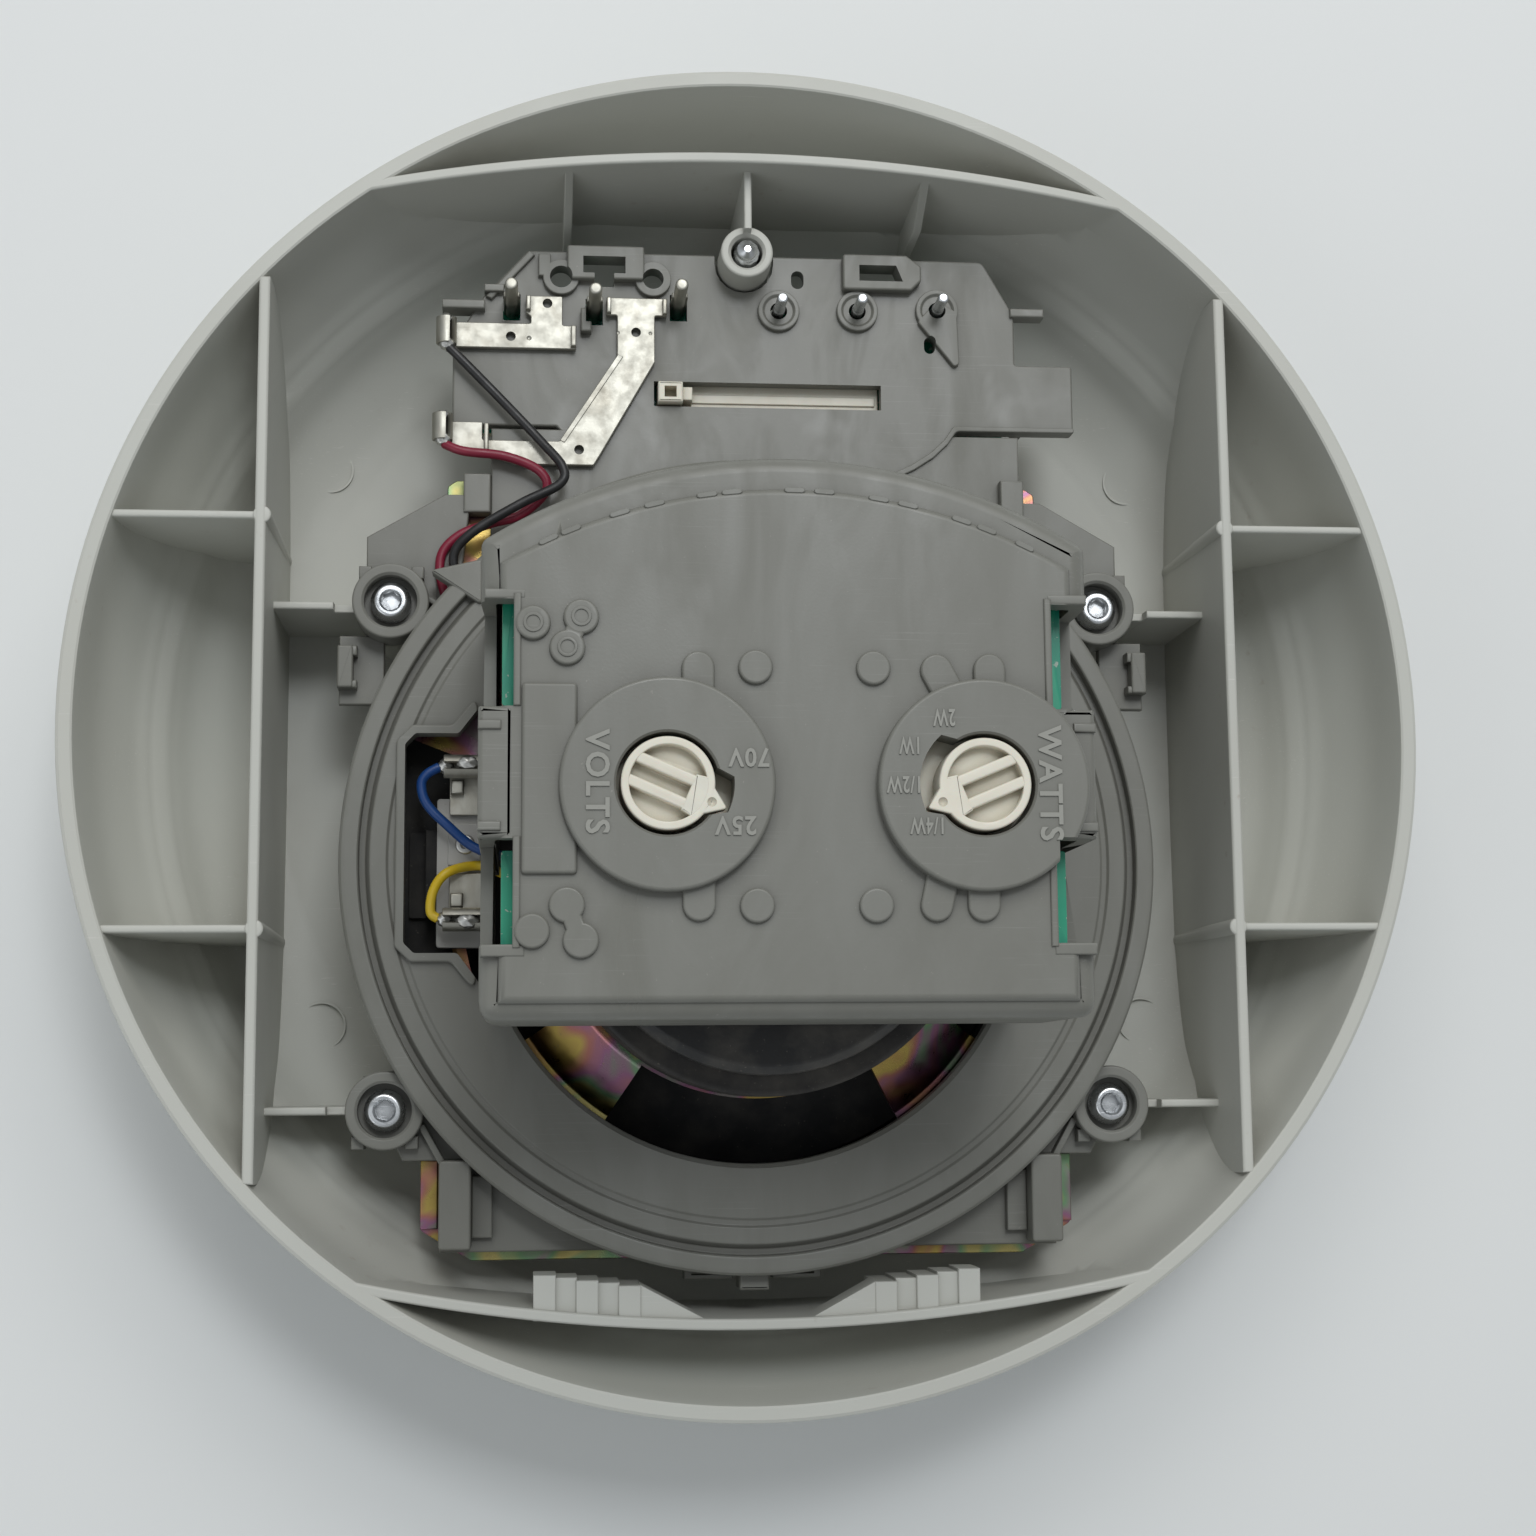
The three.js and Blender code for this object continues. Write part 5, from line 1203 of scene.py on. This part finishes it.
def contact_plates():
    black = fillet([(-38.4, 51), (-22.4, 51), (-22.4, 54.2), (-24.2, 54.2), (-24.2, 58.2), (-29, 58.2),
                    (-29, 55.9),
                    (-28.4, 55.4), (-28.4, 54.4), (-38.4, 54.4)], 0.25)
    plate = slab(black, CONTACT_LOW, CONTACT_TOP, top=0.15, foot=0.1)
    lips = [bent_tab(-23.1, -22.4, 51.2, 54.0, 0.9), bent_tab(-29.0, -28.4, 56.1, 58.0, 0.8)]
    holes = [post(-26.2, 57.2, 0.65, -12, -6, 0, steps=24), post(-31, 52.6, 0.65, -12, -6, 0, steps=24),
             sphere(-28.6, 52.4, CONTACT_TOP + 0.3, 0.45)]
    made = carved("black_contact_strip", [plate, *lips, barrel(-39.4, 53, CONTACT_LOW + 1.2, 3.6)], holes)
    piece(made, "black_contact", MATERIAL["nickel"])
    red = fillet([(-18.4, 58.2), (-18.4, 55.8), (-17, 55.8), (-17, 50.3), (-24.6, 38.5), (-34.6, 38.5),
                  (-34.6, 40.9),
                  (-39, 40.9), (-39, 37.6), (-36, 37.2), (-30.4, 35.3), (-20.1, 35.3), (-19.2, 36.8),
                  (-12, 49.5),
                  (-12, 55.8), (-10.4, 55.8), (-10.4, 58.2)], 0.25)
    plate = slab(red, CONTACT_LOW, CONTACT_TOP, top=0.15, foot=0.1)
    ridge = slab([(-16.9, 50.4), (-24.5, 38.6), (-23.9, 38.3), (-16.2, 50.1)], CONTACT_LOW,
                 CONTACT_TOP + 0.12, top=0.1)
    lips = [bent_tab(-18.4, -17.8, 55.9, 58.0, 0.9), bent_tab(-11.0, -10.4, 55.9, 58.0, 0.7),
            bent_tab(-34.4, -33.8, 37.0, 40.6, 0.7)]
    holes = [post(-14.5, 53.5, 0.65, -12, -6, 0, steps=24), post(-22, 37.4, 0.65, -12, -6, 0, steps=24),
             sphere(-16.9, 53.4, CONTACT_TOP + 0.3, 0.4), sphere(-12.6, 53.4, CONTACT_TOP + 0.3, 0.4)]
    made = carved("red_contact_strip", [plate, ridge, *lips, barrel(-39.8, 40, CONTACT_LOW + 1.2, 3.6)],
                  holes)
    piece(made, "red_contact", MATERIAL["nickel"])
    drops = [sphere(-39.4, 51.2, -8.3, 1.0, 0.9, 0.8, lump=0.12),
             sphere(-39.8, 38.3, -8.3, 1.05, 0.9, 0.8, lump=0.14),
             sphere(-39.4, 54.6, -8.4, 0.8, 0.8, 0.7, lump=0.1),
             sphere(-39.8, 41.6, -8.4, 0.85, 0.7, 0.7, lump=0.1)]
    trim(raw_object("contact_solder", drops), "red_contact", MATERIAL["solder"])


def pins():
    for i, (x, y) in enumerate(CONTACTS, 1):
        y += 0.5
        shank = lathe(fillet([(0, -14.3), (0.85, -14.3, 0.2), (0.85, -2.0, 0.75), (0, -2.0)], 0.2, 5,
                             closed=False), x, y, 32)
        wings = [block(x - 1.05, x + 1.05, y - 0.35, y + 0.35, -14, -6.4, top=0.2)]
        piece(carved(f"contact_pin_{i}_post", [shank, *wings]), f"contact_pin_{i}", MATERIAL["nickel"])
    for i, (x, y) in enumerate(GUIDES, 1):
        shank = lathe(fillet([(0, -14.3), (0.8, -14.3, 0.1), (0.8, -8.6, 0.1), (0.72, -8.4, 0.1),
                              (0.72, -4.0, 0.55), (0, -4.0)],
                             0.1, 5, closed=False), x, y, 32)
        piece(raw_object(f"power_pin_{i}_post", [shank]), f"power_pin_{i}", MATERIAL["zinc"])


def candela_slider():
    low, high = corners("candela_slider")
    bar = block(low.x, high.x, low.y, high.y, low.z, -12.4, top=0.15, foot=0.1, corner=0.4)
    stiffener = block(low.x + 3.6, high.x - 0.5, 44.9, 46.1, -12.6, -12.1, top=0.15)
    finger = block(low.x, low.x + 3.3, 44.1, 46.9, -12.6, -8.7, top=0.3, corner=0.2)
    neck = block(low.x + 3.2, low.x + 4.6, 44.6, 46.4, -12.6, -9.6, top=0.2)
    hollow = block(low.x + 0.85, low.x + 2.45, 44.75, 46.25, -11, -8, top=0)
    made = carved("candela_slider_bar", [bar, stiffener, finger, neck], [hollow])
    piece(made, "candela_slider", MATERIAL["ivory"])


contact_plates()
pins()
candela_slider()

# ------------------------------------------------------------------ loudspeaker

FRAME_FRONT, FRAME_BACK = -13.2, -12.2


def speaker_frame():
    outline = [(-35.4, -67.2), (35.4, -67.2), (41.8, -63.4), (41.8, -50), (44.4, -40), (44.4, 8),
               (39.2, 24), (39.2, 33),
               (38, 33.8), (-38, 33.8), (-39.2, 33), (-39.2, 24), (-44.4, 8), (-44.4, -40), (-41.8, -50),
               (-41.8, -63.4)]
    plate = slab(fillet(outline, 0.8), FRAME_FRONT, FRAME_BACK, top=0.15, foot=0.15)
    basket = lathe(fillet([
        (38.4, FRAME_FRONT, 0), (41, FRAME_FRONT, 0), (41, FRAME_BACK, 0.2), (38.9, FRAME_BACK, 0.6),
        (37, -10.2, 0.6),
        (34.4, -8.1, 0.5), (33.6, -8.1, 0.5), (26.6, -2.3, 0.8), (16, -2.3, 0.2), (16, -3.2, 0),
        (26.2, -3.2, 0.6),
        (33.2, -9.0, 0.4), (34.0, -9.0, 0.4), (36.4, -11, 0.5)], 0.3, 3), 0, SPEAKER_Y, 128)
    upturned = [block(*sorted((side * 39.6, side * 41.8)), -63.2, -54.6, FRAME_BACK - 0.4, -11.6, top=0.2)
                for side in (-1, 1)]
    cuts = [post(0, SPEAKER_Y, 38.7, FRAME_FRONT - 1, FRAME_BACK + 0.3, top=0, steps=96)]
    made_plate = as_solid(carved("frame_plate", [plate], cuts))
    windows = []
    for quarter in range(4):
        middle = 90 * quarter
        shape = arc(0, SPEAKER_Y, 38.2, middle - 33, middle + 33, 20) + arc(0, SPEAKER_Y, 26.2, middle + 33,
                                                                            middle - 33, 20)
        windows.append(slab(shape, -11.6, 0, top=0))
    made = carved("speaker_frame_pressing", [made_plate, basket, *upturned], windows)
    piece(made, "speaker_frame", MATERIAL["rainbow"])
    # a black sheet on the frame under the terminal window, laid there as painted shade
    shade_sheet_outline = [(-44.2, -30), *arc(0, SPEAKER_Y, 38.75, 206, 154, 24), (-44.2, -0.4)]
    trim(raw_object("speaker_frame_shade_sheet", [slab(shade_sheet_outline, -12.15, -11.95, top=0.05)]), "speaker_frame",
         MATERIAL["foam"])


def magnet_system():
    profile = fillet([(12.5, 2.8, 0.3), (26, 2.8, 0.7), (26, 12.8, 0.7), (12.5, 12.8, 0.3)], 0.5, 4)
    piece(raw_object("magnet_ring", [lathe(profile, 0, SPEAKER_Y, 128)]), "magnet", MATERIAL["ferrite"])
    back = lathe(fillet([(0, -2), (9, -2, 0.3), (9, 13.1, 0.2), (23.5, 13.1, 0.2), (23.5, 15.4, 0.9),
                         (22.4, 16.6, 0.6),
                         (0, 16.6)], 0.3, 4, closed=False), 0, SPEAKER_Y, 128)
    vent = lathe([(0, 10), (2.4, 10), (2.4, 16.2), (2.9, 17), (0, 17)], 0, SPEAKER_Y, 48)
    piece(carved("yoke_forging", [back], [vent]), "yoke", MATERIAL["yoke"])
    low, high = corners("top_plate")
    plate = ring(0, SPEAKER_Y, 10.4, 24, low.z, high.z, 0.4, 128)
    rivets = [sphere(17.5 * math.cos(math.radians(a)), SPEAKER_Y + 17.5 * math.sin(math.radians(a)),
                     low.z + 0.12, 1.3, 1.3, 0.5)
              for a in (45, 135, 225, 315)]
    piece(carved("top_plate_disc", [plate, *rivets]), "top_plate", MATERIAL["zinc"])
    turns = []
    for k in range(22):
        z = -6.1 + k * 0.33
        turns += [(9.82, z - 0.09), (9.9, z), (9.82, z + 0.09)]
    former = lathe([(9.4, -6.3)] + [(9.78, -6.3)] + turns + [(9.78, 1.2), (9.4, 1.2)], 0, SPEAKER_Y, 96)
    piece(raw_object("voice_coil_winding", [former]), "voice_coil", MATERIAL["copper"])


def cone_parts():
    lower, upper = [], []
    for k in range(25):
        t = k / 24
        r = 10.3 + (34.6 - 10.3) * t
        z = -6.6 - 7.8 * t ** 1.12
        ripple = 0.12 * math.sin(t * 24) if 0.35 < t < 0.95 else 0.0
        upper.append((r, z + ripple))
        lower.append((r, z + ripple - 0.6))
    cone = lathe(lower + upper[::-1], 0, SPEAKER_Y, 128)
    piece(raw_object("cone_paper", [cone]), "cone", MATERIAL["paper"])
    dome = smooth([(0, -11.4), (4, -11.15), (8, -10.0), (11.6, -8.1)], 6)
    back = smooth([(11.0, -7.9), (7.6, -9.4), (4, -10.5), (0, -10.8)], 6)
    piece(raw_object("dust_cap_dome", [lathe(dome + back, 0, SPEAKER_Y, 96)]), "dust_cap",
          MATERIAL["paper"])
    outside = [(35.0, -14.9)] + [(37.6 - 2.4 * math.cos(math.pi * k / 12),
                                  -14.9 - 1.55 * math.sin(math.pi * k / 12))
                                 for k in range(13)] + [(44, -14.2)]
    inside = [(44, -13.6), (40.0, -13.9)] + [(37.6 + 1.85 * math.cos(math.pi * k / 12),
                                              -14.5 - 1.35 * math.sin(math.pi * k / 12))
                                             for k in range(13)]
    piece(raw_object("surround_roll", [lathe(outside + inside, 0, SPEAKER_Y, 128)]), "surround",
          MATERIAL["foam"])
    waves_low = [(10.4 + 12.6 * k / 60, -4.35 + 0.22 * math.sin(k * 0.63)) for k in range(61)]
    waves_high = [(r, z + 0.3) for r, z in reversed(waves_low)]
    piece(raw_object("spider_disc", [lathe(waves_low + waves_high, 0, SPEAKER_Y, 96)]), "spider",
          MATERIAL["amber"])
    low, high = corners("gasket")
    piece(raw_object("gasket_ring", [ring(0, SPEAKER_Y, 41.2, 46.2, low.z, high.z, 0.4, 128)]), "gasket",
          MATERIAL["foam"])
    low, high = corners("dust_screen")
    screen = post(0, SPEAKER_Y, 41, low.z, high.z, top=0.15, foot=0.1, steps=96)
    piece(raw_object("dust_screen_cloth", [screen]), "dust_screen", MATERIAL["screen"])


def terminals():
    strip = block(-40, -33.6, -28, -9, -8.9, -7.7, top=0.15, foot=0.1, corner=0.5)
    foot = block(-43.6, -40.6, -24, -13, -11.9, -11.1, top=0.1, corner=0.4)
    riser = block(-41.4, -40, -24, -13, -11.9, -7.7, top=0.25)
    step = block(-38.6, -34.4, -17.6, -12.2, -8, -7.2, top=0.2, corner=0.3)
    made = carved("terminal_strip_board", [strip, step], [post(-37, -20.6, 0.7, -9, -7, 0, steps=20)])
    piece(made, "terminal_strip", MATERIAL["fibre"])
    # the bracket's foot and riser get the black finish as painted shade for the dark window they sit in
    trim(raw_object("terminal_strip_bracket", [foot, riser]), "terminal_strip", MATERIAL["foam"])
    rivet = lathe(fillet([(0, -7.9), (1.3, -7.9), (1.3, -7.0, 0.4), (0.6, -6.9, 0.1), (0.4, -7.3),
                          (0, -7.3)], 0.2, 4,
                         closed=False), -36.4, -14.9, 32)
    lug_solder = [rivet]
    for name, y in (("positive_lug", -5.2), ("negative_lug", -24.6)):
        inward = -1 if y > SPEAKER_Y + 10 else 1
        # the strip rolled round the wire, seam upwards
        outer = arc(y, -4.9, 1.5, 110, 430, 30)
        inner = arc(y, -4.9, 0.95, 430, 110, 30)
        upright = slab(outer + inner, -39.1, -34.1, top=0.12, foot=0.12)
        roll = swapped(upright, lambda px, py, pz: (pz, px, py))
        tongue = block(-38.4, -34.2, *sorted((y, y + inward * 6)), -7.4, -6.8, top=0.12, foot=0.1,
                       corner=0.3)
        web = block(-38.4, -34.2, y - 0.4, y + 0.4, -7.3, -5.9, top=0.1)
        tab = block(-38.2, -36.6, *sorted((y + inward * 1.6, y + inward * 3.4)), -7, -5.6, top=0.3)
        made = carved(f"{name}_strip", [roll, tongue, web, tab])
        piece(made, name, MATERIAL["nickel"])
        lug_solder.append(sphere(-38.9, y, -4.9, 1.0, 0.95, 0.95, lump=0.14))
        lug_solder.append(sphere(-36.0, y - inward * 0.3, -4.0, 1.5, 0.9, 0.8, lump=0.16))
    trim(raw_object("lug_solder", lug_solder), "positive_lug", MATERIAL["solder"])


speaker_frame()
magnet_system()
cone_parts()
terminals()

# ------------------------------------------------------------------ strobe

def strobe():
    flange = slab(fillet(rect(-19.4, 19.4, 35.1, 56.9), 1.5), FLOOR + 0.3, FLOOR + 1.5, top=0.2)
    outer = slab(fillet(rect(-16.7, 16.7, 37.8, 54.2), 2.2), LENS_LOW.z, FLOOR + 1, top=0, foot=1.3,
                 steps=6)
    hollow = slab(fillet(rect(-15.2, 15.2, 39.3, 52.7), 1.6), LENS_LOW.z + 1.6, FLOOR + 3, top=0, foot=1.0,
                  steps=5)
    prisms = [block(x - 0.5, x + 0.5, 39.4, 52.6, LENS_LOW.z + 1.3, LENS_LOW.z + 2.1,
                    top=0.35) for x in range(-12, 13, 2)]
    shell = as_solid(carved("lens_shell", [flange, outer], [hollow]))
    piece(carved("strobe_lens_moulding", [shell, *prisms]), "strobe_lens", MATERIAL["clear"])
    low, high = corners("strobe_reflector")
    middle = (low.y + high.y) / 2
    pan = slab(fillet(rect(low.x, high.x, low.y, high.y), 1.2), low.z, high.z, top=0.8)
    trough = []
    for k in range(25):
        angle = math.pi * k / 24
        trough.append((middle + 5.9 * math.cos(angle), -26.6 + 7.0 * math.sin(angle)))
    upright = slab(trough + [(middle - 5.9, -28), (middle + 5.9, -28)], -13.8, 13.8, top=0.9, foot=0.9)
    hollow = swapped(upright, lambda px, py, pz: (pz, px, py))
    notch = block(-16, 16, middle - 1.6, middle + 1.6, -28, -21, top=1.2)
    piece(carved("reflector_pan", [pan], [hollow, notch]), "strobe_reflector", MATERIAL["mirror"])
    glass = lathe(fillet([(0, -11.6), (0.7, -11.6, 0.3), (1.2, -10.6, 0.5), (1.2, 10.6, 0.5),
                          (0.7, 11.6, 0.3), (0, 11.6)],
                         0.3, 4, closed=False), segments=32)
    caps = [ring(0, 0, 0.35, 1.22, z, z + 1.6, 0.2, 32) for z in (-10.8, 9.2)]
    lying = [swapped(part, lambda px, py, pz: (pz, middle + py, px - 23)) for part in (glass, *caps)]
    piece(raw_object("flash_tube_glass", lying[:1]), "flash_tube", MATERIAL["tube_glass"])
    trim(raw_object("flash_tube_electrodes", lying[1:]), "flash_tube", MATERIAL["zinc"])
    low, high = corners("flash_capacitor")
    x = (low.x + high.x) / 2
    z = (low.z + high.z) / 2
    can = lathe(fillet([(0, low.y + 0.4), (3.7, low.y + 0.4), (3.8, low.y), (4.6, low.y, 0.5),
                        (4.6, high.y - 2.4, 0.3),
                        (4.15, high.y - 1.8, 0.3), (4.6, high.y - 1.1, 0.3), (4.6, high.y, 0.4),
                        (0, high.y)],
                       0.2, 3, closed=False), segments=64)
    lying = swapped(can, lambda px, py, pz: (x + px, pz, z + py))
    piece(raw_object("flash_capacitor_can", [lying]), "flash_capacitor", MATERIAL["sleeve"])
    outline = [(-35.5, 41), (35.5, 41), (35.5, 55), (30, 61.5), (5, 61.5), (5, 57), (-5, 57), (-5, 61.5),
               (-29, 61.5),
               (-35.5, 54)]
    board_piece(raw_object("strobe_board_panel", [slab(fillet(outline, 0.4), -16.3, -14.7, top=0.08,
                                                       foot=0.08)]),
                "strobe_board")
    chips = [part_block(x0, x0 + w, y0, y0 + d, -16.3 - h, -16.32) for x0, y0, w, d, h in
             ((20, 43, 9, 6, 2.2), (20, 52, 4, 3, 1.4), (26, 52, 3, 2, 1.0), (-33, 43, 3, 6, 1.8),
              (-10, 55.2, 6, 3, 1.2))]
    trim(raw_object("strobe_board_parts", chips), "strobe_board", MATERIAL["switch"])
    pads = [sphere(x0, y0, -14.72, 0.7, 0.7, 0.35, 12, 8) for x0, y0 in
            [(c[0], c[1] + 0.5) for c in CONTACTS] + GUIDES + [(-18.5, 62.2 - 1.4), (19, 60.9),
                                                               (-12.2, 60.6), (-24.4, 60.6)]]
    trim(raw_object("strobe_board_solder", pads), "strobe_board", MATERIAL["solder"])


strobe()

# ------------------------------------------------------------------ fasteners

def thread(radius, depth, pitch, z0, z1, segments=32, taper=0.0):
    """A screw's shank with a real helical thread."""
    rows = int((z1 - z0) / pitch * 10)
    loops = []
    for row in range(rows + 1):
        z = z0 + (z1 - z0) * row / rows
        loop = []
        for k in range(segments):
            phase = (z / pitch - k / segments) % 1.0
            crest = max(0.0, 1 - abs(phase - 0.5) * 3.2)
            fade = min(1.0, (z1 - z) / pitch, (z - z0) / pitch + 0.05)
            size = radius - depth + depth * crest * max(0.0, fade)
            if taper > 0 and z1 - z < taper:
                size *= 0.35 + 0.65 * (z1 - z) / taper
            angle = 2 * math.pi * k / segments
            loop.append((size * math.cos(angle), size * math.sin(angle), z))
        loops.append(loop)
    return skin(loops)


def chassis_screws():
    seat = -8.2
    for i, (x, y) in enumerate(SCREWS, 1):
        head = lathe(fillet([(0, seat), (2.6, seat, 0.15), (2.6, seat + 1.1, 0.5), (2.0, seat + 2.3, 0.45),
                             (0, seat + 2.3)],
                            0.2, 5, closed=False), x, y, 48)
        socket = slab(arc(x, y, 1.28, 15 * i, 15 * i + 300, 5), seat + 0.9, seat + 4, top=0)
        mouth = lathe([(0, seat + 1.95), (1.15, seat + 1.95), (1.55, seat + 2.4), (0, seat + 2.4)], x, y,
                      32)
        shank = moved(thread(1.45, 0.35, 0.9, seat - 12, seat + 0.1, 20), x, y)
        made = carved(f"chassis_screw_{i}_body", [head, shank], [socket, mouth])
        piece(made, f"chassis_screw_{i}", MATERIAL["zinc"], 40)


def captive_screw():
    low, high = corners("mounting_screw")
    shank = thread(1.72, 0.5, 1.5, -26.2, high.z, 32, taper=0.8)
    head = lathe(fillet([(0, low.z), (3.3, low.z, 0.4), (3.9, -27.6, 0.3), (3.9, -26, 0.2), (0, -26)], 0.2,
                        4, closed=False),
                 segments=64)
    slots = [block(-3.0, 3.0, -0.5, 0.5, low.z - 1, low.z + 1.0, top=0),
             block(-0.5, 0.5, -3.0, 3.0, low.z - 1, low.z + 0.9, top=0)]
    solids = [moved(s, 0, PILLAR_Y) for s in (head, shank)]
    made = carved("mounting_screw_body", solids, [moved(s, 0, PILLAR_Y) for s in slots])
    piece(made, "mounting_screw", MATERIAL["zinc"], 40)


chassis_screws()
captive_screw()

# ------------------------------------------------------------------ wires, on the routes of their CAD solids

WIRES = {
    "black": [(-39.2, 50.8, -8.5), (-38.4, 50.1, -8.2), (-32.2, 43.7, -8), (-27, 38, -7.4),
              (-24.2, 34.4, -6.4),
              (-24.6, 32, -6.2), (-29.6, 29.4, -6.4), (-36, 25.4, -6.8), (-38.2, 22.2, -7.4),
              (-36.4, 17.4, -7.9),
              (-33, 11, -8), (-26.6, 4.6, -8), (-24.2, 2.4, -7.3), (-23.1, 1.4, -4.6), (-23, 1.3, 8),
              (-23, 1.3, 34)],
    "red": [(-39.8, 37.8, -8.4), (-37, 36.6, -7.7), (-31.6, 36, -7.7), (-27.2, 34.2, -7.9),
            (-26.3, 31.6, -8.2),
            (-29.6, 28.4, -8.5), (-33.4, 27.2, -8.4), (-37.6, 25.5, -8.5), (-39.9, 22.4, -8.5),
            (-39, 17, -8.4),
            (-34.5, 9, -8.2), (-28.4, 2.4, -7.9), (-26.6, 0, -7.2), (-25.2, -1.2, -4.6), (-25.1, -1.3, 8),
            (-25.1, -1.3, 34)],
    "blue": [(-39.5, -5.2, -4.9), (-41.2, -6.2, -4.9), (-41.9, -7.6, -4.9), (-41.2, -10, -4.9),
             (-38.7, -12.6, -5),
             (-35.3, -15.4, -5.4), (-31.6, -16.6, -4.4), (-29, -16.6, 2), (-28.2, -16.4, 20),
             (-28.2, -16.4, 34)],
    "yellow": [(-39.5, -24.6, -4.9), (-40.6, -23.6, -4.9), (-40.2, -20.8, -4.9), (-38.4, -18.6, -5),
               (-34.5, -17.6, -7),
               (-31, -19, -4.6), (-29, -19.4, 2), (-28.2, -19.2, 20), (-28.2, -19.2, 34)],
}
for colour, route in WIRES.items():
    insulation = tube(route, 0.62, 16, 8)
    piece(raw_object(f"{colour}_wire_lead", [insulation]), f"{colour}_wire", MATERIAL[f"wire_{colour}"], 60)

# ------------------------------------------------------------------ floor, light and camera

def plain(name, colour, roughness):
    """Pale studio paper."""
    f = Finish(name, colour, roughness)
    f.mottled(120, 3, 0.35, 0.7, 0.4, tuple(c * 0.97 for c in colour))
    f.bump(f.noise(1.5, 3), 0.02, 0.2)
    return f.done()


def stage_floor():
    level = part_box("strobe_lens")[0].z - 0.0003
    mesh = bpy.data.meshes.new("floor")
    mesh.from_pydata([(-2.5, -2.5, level), (2.5, -2.5, level), (2.5, 2.5, level), (-2.5, 2.5, level)], [],
                     [(0, 1, 2, 3)])
    floor = bpy.data.objects.new("floor", mesh)
    bpy.context.scene.collection.objects.link(floor)
    floor.data.materials.append(plain("floor_paper", (0.79, 0.805, 0.80), 0.6))


def lamp(name, place, aim, size, power, colour=(1, 1, 1)):
    light = bpy.data.lights.new(name, "AREA")
    light.shape = "RECTANGLE"
    light.size, light.size_y = size
    light.energy = power
    light.color = colour
    made = bpy.data.objects.new(name, light)
    made.location = place
    made.rotation_euler = (Vector(aim) - Vector(place)).to_track_quat("-Z", "Y").to_euler()
    bpy.context.scene.collection.objects.link(made)


def lights():
    world = bpy.data.worlds.new("studio")
    bpy.context.scene.world = world
    world.use_nodes = True
    world.node_tree.nodes["Background"].inputs["Color"].default_value = (0.93, 0.97, 1.0, 1)
    world.node_tree.nodes["Background"].inputs["Strength"].default_value = 0.36
    lamp("window", (0.10, 0.95, 1.05), (0, 0, 0), (1.3, 0.7), 8.0, (1.0, 0.985, 0.96))
    lamp("overhead", (0.16, 0.62, 1.5), (0, 0.03, 0), (0.42, 0.34), 6.0, (0.94, 0.97, 1.0))
    lamp("bounce", (-0.9, -0.5, 0.8), (0, 0, 0), (0.9, 0.9), 1.8, (0.95, 0.98, 1.0))


def camera():
    made = bpy.data.objects.new("camera", bpy.data.cameras.new("camera"))
    made.location = (-0.02855, -0.04661, 0.30033)
    made.rotation_euler = (0.135, -0.099, -0.009)
    made.data.sensor_width = 36
    made.data.lens = 56.55
    made.data.clip_start = 0.01
    bpy.context.scene.collection.objects.link(made)
    bpy.context.scene.camera = made


stage_floor()
lights()
camera()
bpy.context.scene.view_settings.view_transform = "Standard"
